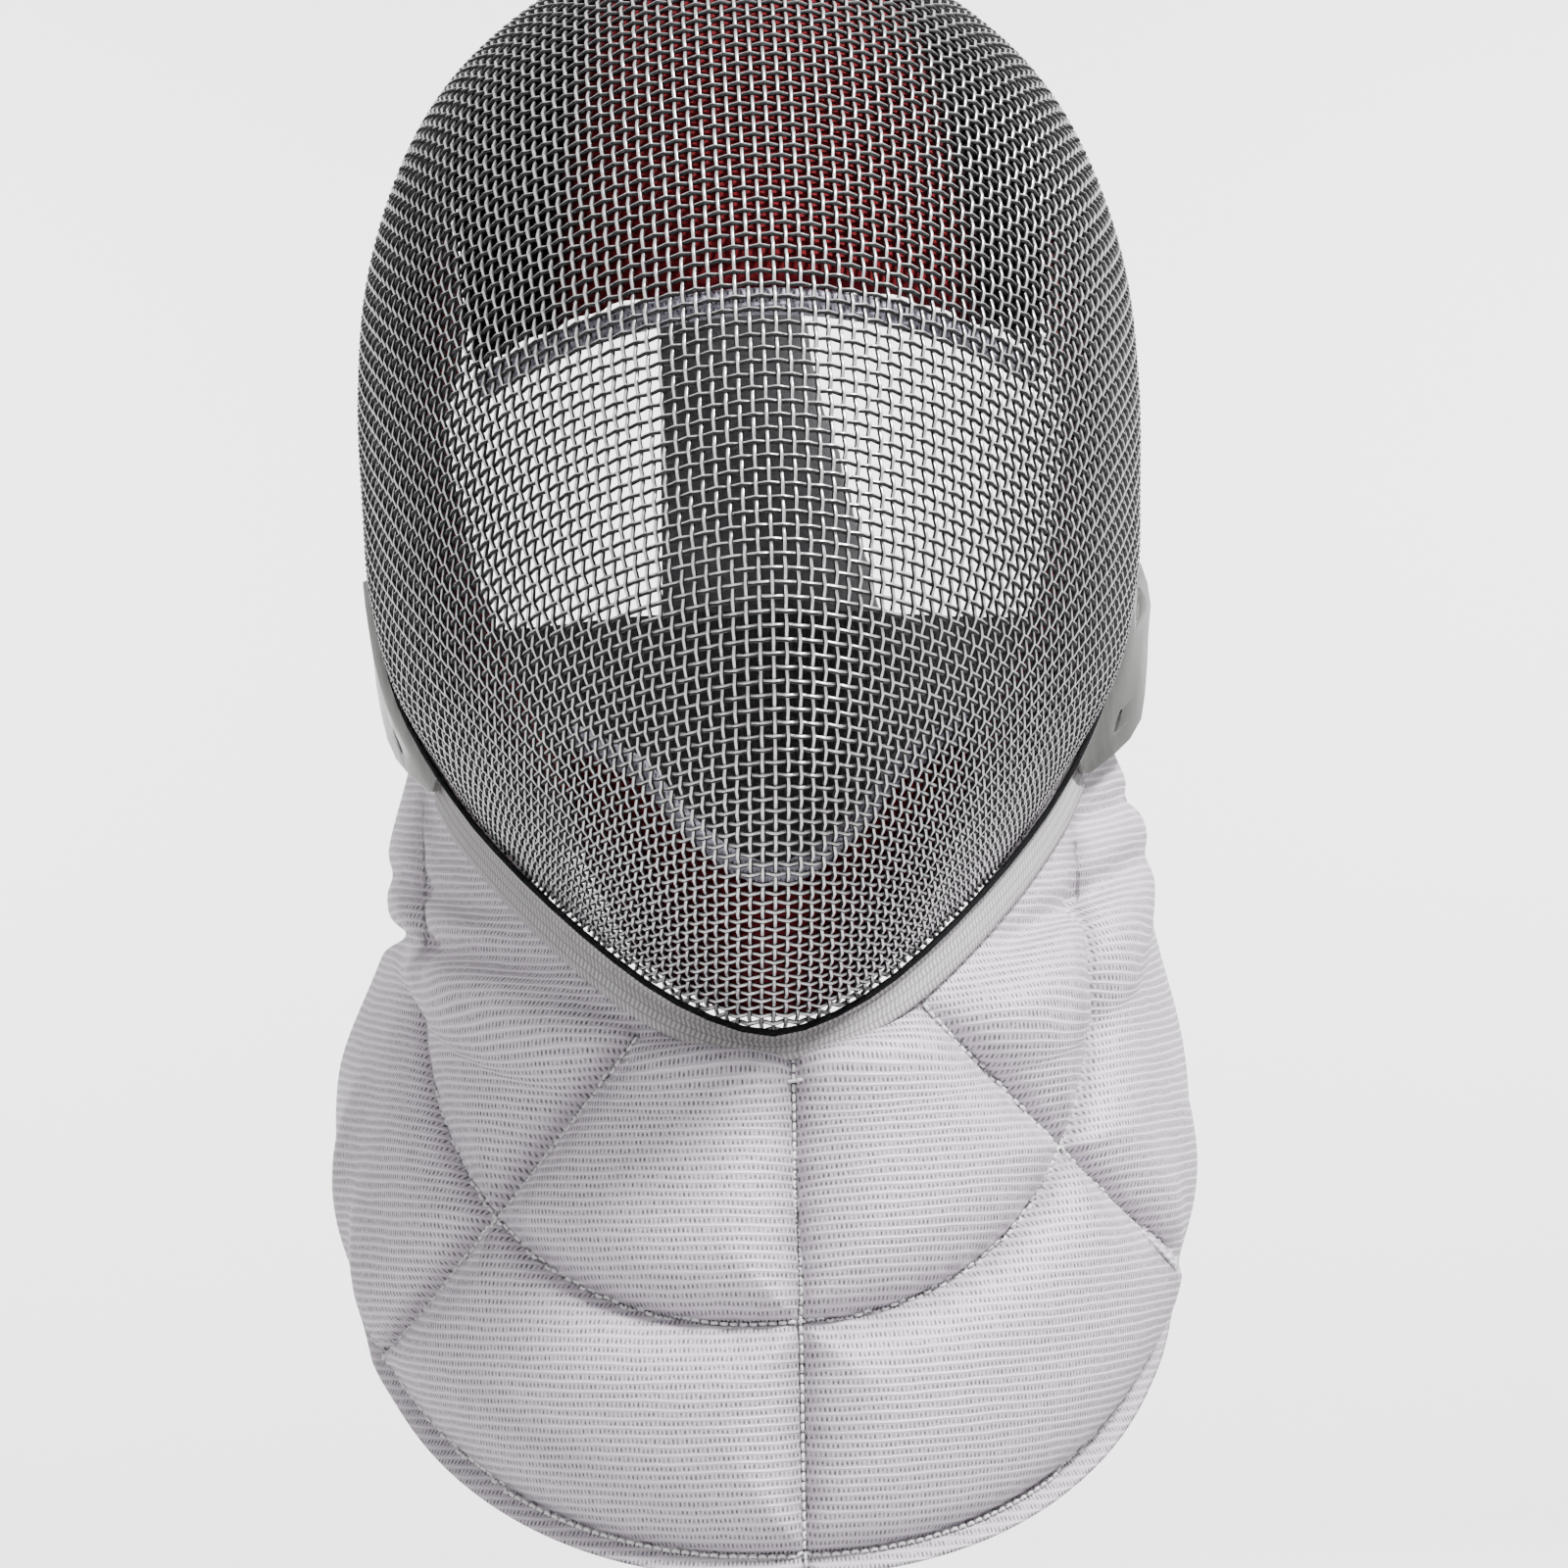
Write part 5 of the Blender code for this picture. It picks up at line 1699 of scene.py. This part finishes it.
@dataclass
class Studio:
    """Pale floor and backdrop, soft lights and the camera."""

    azimuth: float = -2.0
    roll: float = -1.6
    target: tuple = (0.0060, 0.0, -0.1945)
    distance: float = 1.135
    lens: float = 105.75

    def build(self) -> None:
        """Place everything that isn't the mask."""
        self.backdrop()
        self.lights()
        self.camera()

    def backdrop(self) -> None:
        """Bend one sheet of pale paper from the floor up behind the mask."""
        bpy.ops.mesh.primitive_plane_add(size=12.0, location=(0.0, -0.5, -1.3))
        paper = bpy.context.active_object
        paper.name = "paper_sweep"
        only_select(paper)
        bpy.ops.object.mode_set(mode="EDIT")
        bm = bmesh.from_edit_mesh(paper.data)
        for edge in bm.edges:
            edge.select_set(all(vert.co.y > 5.9 for vert in edge.verts))
        bmesh.update_edit_mesh(paper.data)
        bpy.ops.mesh.extrude_region_move(TRANSFORM_OT_translate={"value": (0.0, 0.0, 7.0)})
        bm = bmesh.from_edit_mesh(paper.data)
        for edge in bm.edges:
            edge.select_set(all(vert.co.y > 5.9 and vert.co.z < 0.1 for vert in edge.verts))
        bmesh.update_edit_mesh(paper.data)
        bpy.ops.mesh.bevel(offset=1.0, segments=16)
        bpy.ops.object.mode_set(mode="OBJECT")
        bpy.ops.object.shade_smooth()
        bpy.ops.object.transform_apply(location=True, rotation=True, scale=True)
        PAPER.put_on(paper)

    def lights(self) -> None:
        """Light the mask softly from above, the left, the right and behind."""
        self.area("key_light", (0.78, -0.80, 1.28), 0.30, 86.0)
        self.area("front_light", (-1.1, -1.5, 0.2), 0.5, 4.5)
        for side in Side:
            self.area(f"paper_light_{side.name.lower()}", (1.7 * side.value, 3.3, 0.6), 1.2, 190.0,
                      (0.9 * side.value, 5.5, 0.1))
        world = bpy.data.worlds.new("studio_world")
        bpy.context.scene.world = world
        world.use_nodes = True
        sky = world.node_tree.nodes["Background"]
        sky.inputs["Color"].default_value = (1.0, 1.0, 1.0, 1.0)
        sky.inputs["Strength"].default_value = 0.04

    def area(self, name: str, place: tuple, size: float, power: float,
             aim: tuple | None = None) -> None:
        """Add one soft light that looks at the mask, or at another place."""
        light = bpy.data.lights.new(name, "AREA")
        light.energy = power
        light.size = size
        obj = bpy.data.objects.new(name, light)
        obj.location = place
        look = Vector(aim or self.target) - Vector(place)
        obj.rotation_euler = look.to_track_quat("-Z", "Y").to_euler()
        bpy.context.collection.objects.link(obj)

    def camera(self) -> None:
        """Place the camera at the photograph's angle."""
        turn = math.radians(self.azimuth)
        back = Vector((math.sin(turn), -math.cos(turn), 0.0))
        data = bpy.data.cameras.new("camera")
        data.lens = self.lens
        data.sensor_width = 36.0
        data.clip_end = 20.0
        obj = bpy.data.objects.new("camera", data)
        look = (-back).to_track_quat("-Z", "Y").to_matrix()
        look = look @ Matrix.Rotation(math.radians(self.roll), 3, "Z")
        spot = Vector(self.target) + back * self.distance
        obj.matrix_world = Matrix.Translation(spot) @ look.to_4x4()
        bpy.context.collection.objects.link(obj)
        bpy.context.scene.camera = obj


def paint(node: Piece, finish: Finish) -> None:
    """Give a CAD node a finish."""
    node.data.materials.clear()
    finish.put_on(node)


def main() -> None:
    """Build the looks of the mask."""
    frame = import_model()
    nodes = frame["nodes"]
    for obj in list(bpy.context.scene.objects):
        if obj.type in {"LIGHT", "CAMERA"}:
            bpy.data.objects.remove(obj, do_unlink=True)
    for name in ("edge_piping", "rim_binding"):
        paint(nodes[name], BLACK_TRIM)
    for side in Side:
        SideClip(side).build(nodes)
        SidePanelLining(f"side_pad_{side.name.lower()}", "red_lining", PANEL_LINING).build(nodes)
    CrownLining("forehead_pad", "red_lining", PANEL_LINING).build(nodes)
    Lining("chin_pad", "red_lining", RED_LINING, voxel=0.0026).build(nodes)
    Lining("tongue", "grey_lining", GREY_LINING, voxel=0.0026, fill=0.4).build(nodes)
    for name in ("forehead_binding", "chin_binding"):
        TrimBand(name).build(nodes)
    BackStrap().build(nodes)
    WovenDome().build()
    bib = Bib()
    cloth = bib.build()
    BibStitches().build(bib, cloth)
    RimTape().build(bib)
    Studio().build()


if __name__ == "__main__":
    logging.basicConfig(level=logging.INFO, format="%(name)s: %(message)s")
    main()
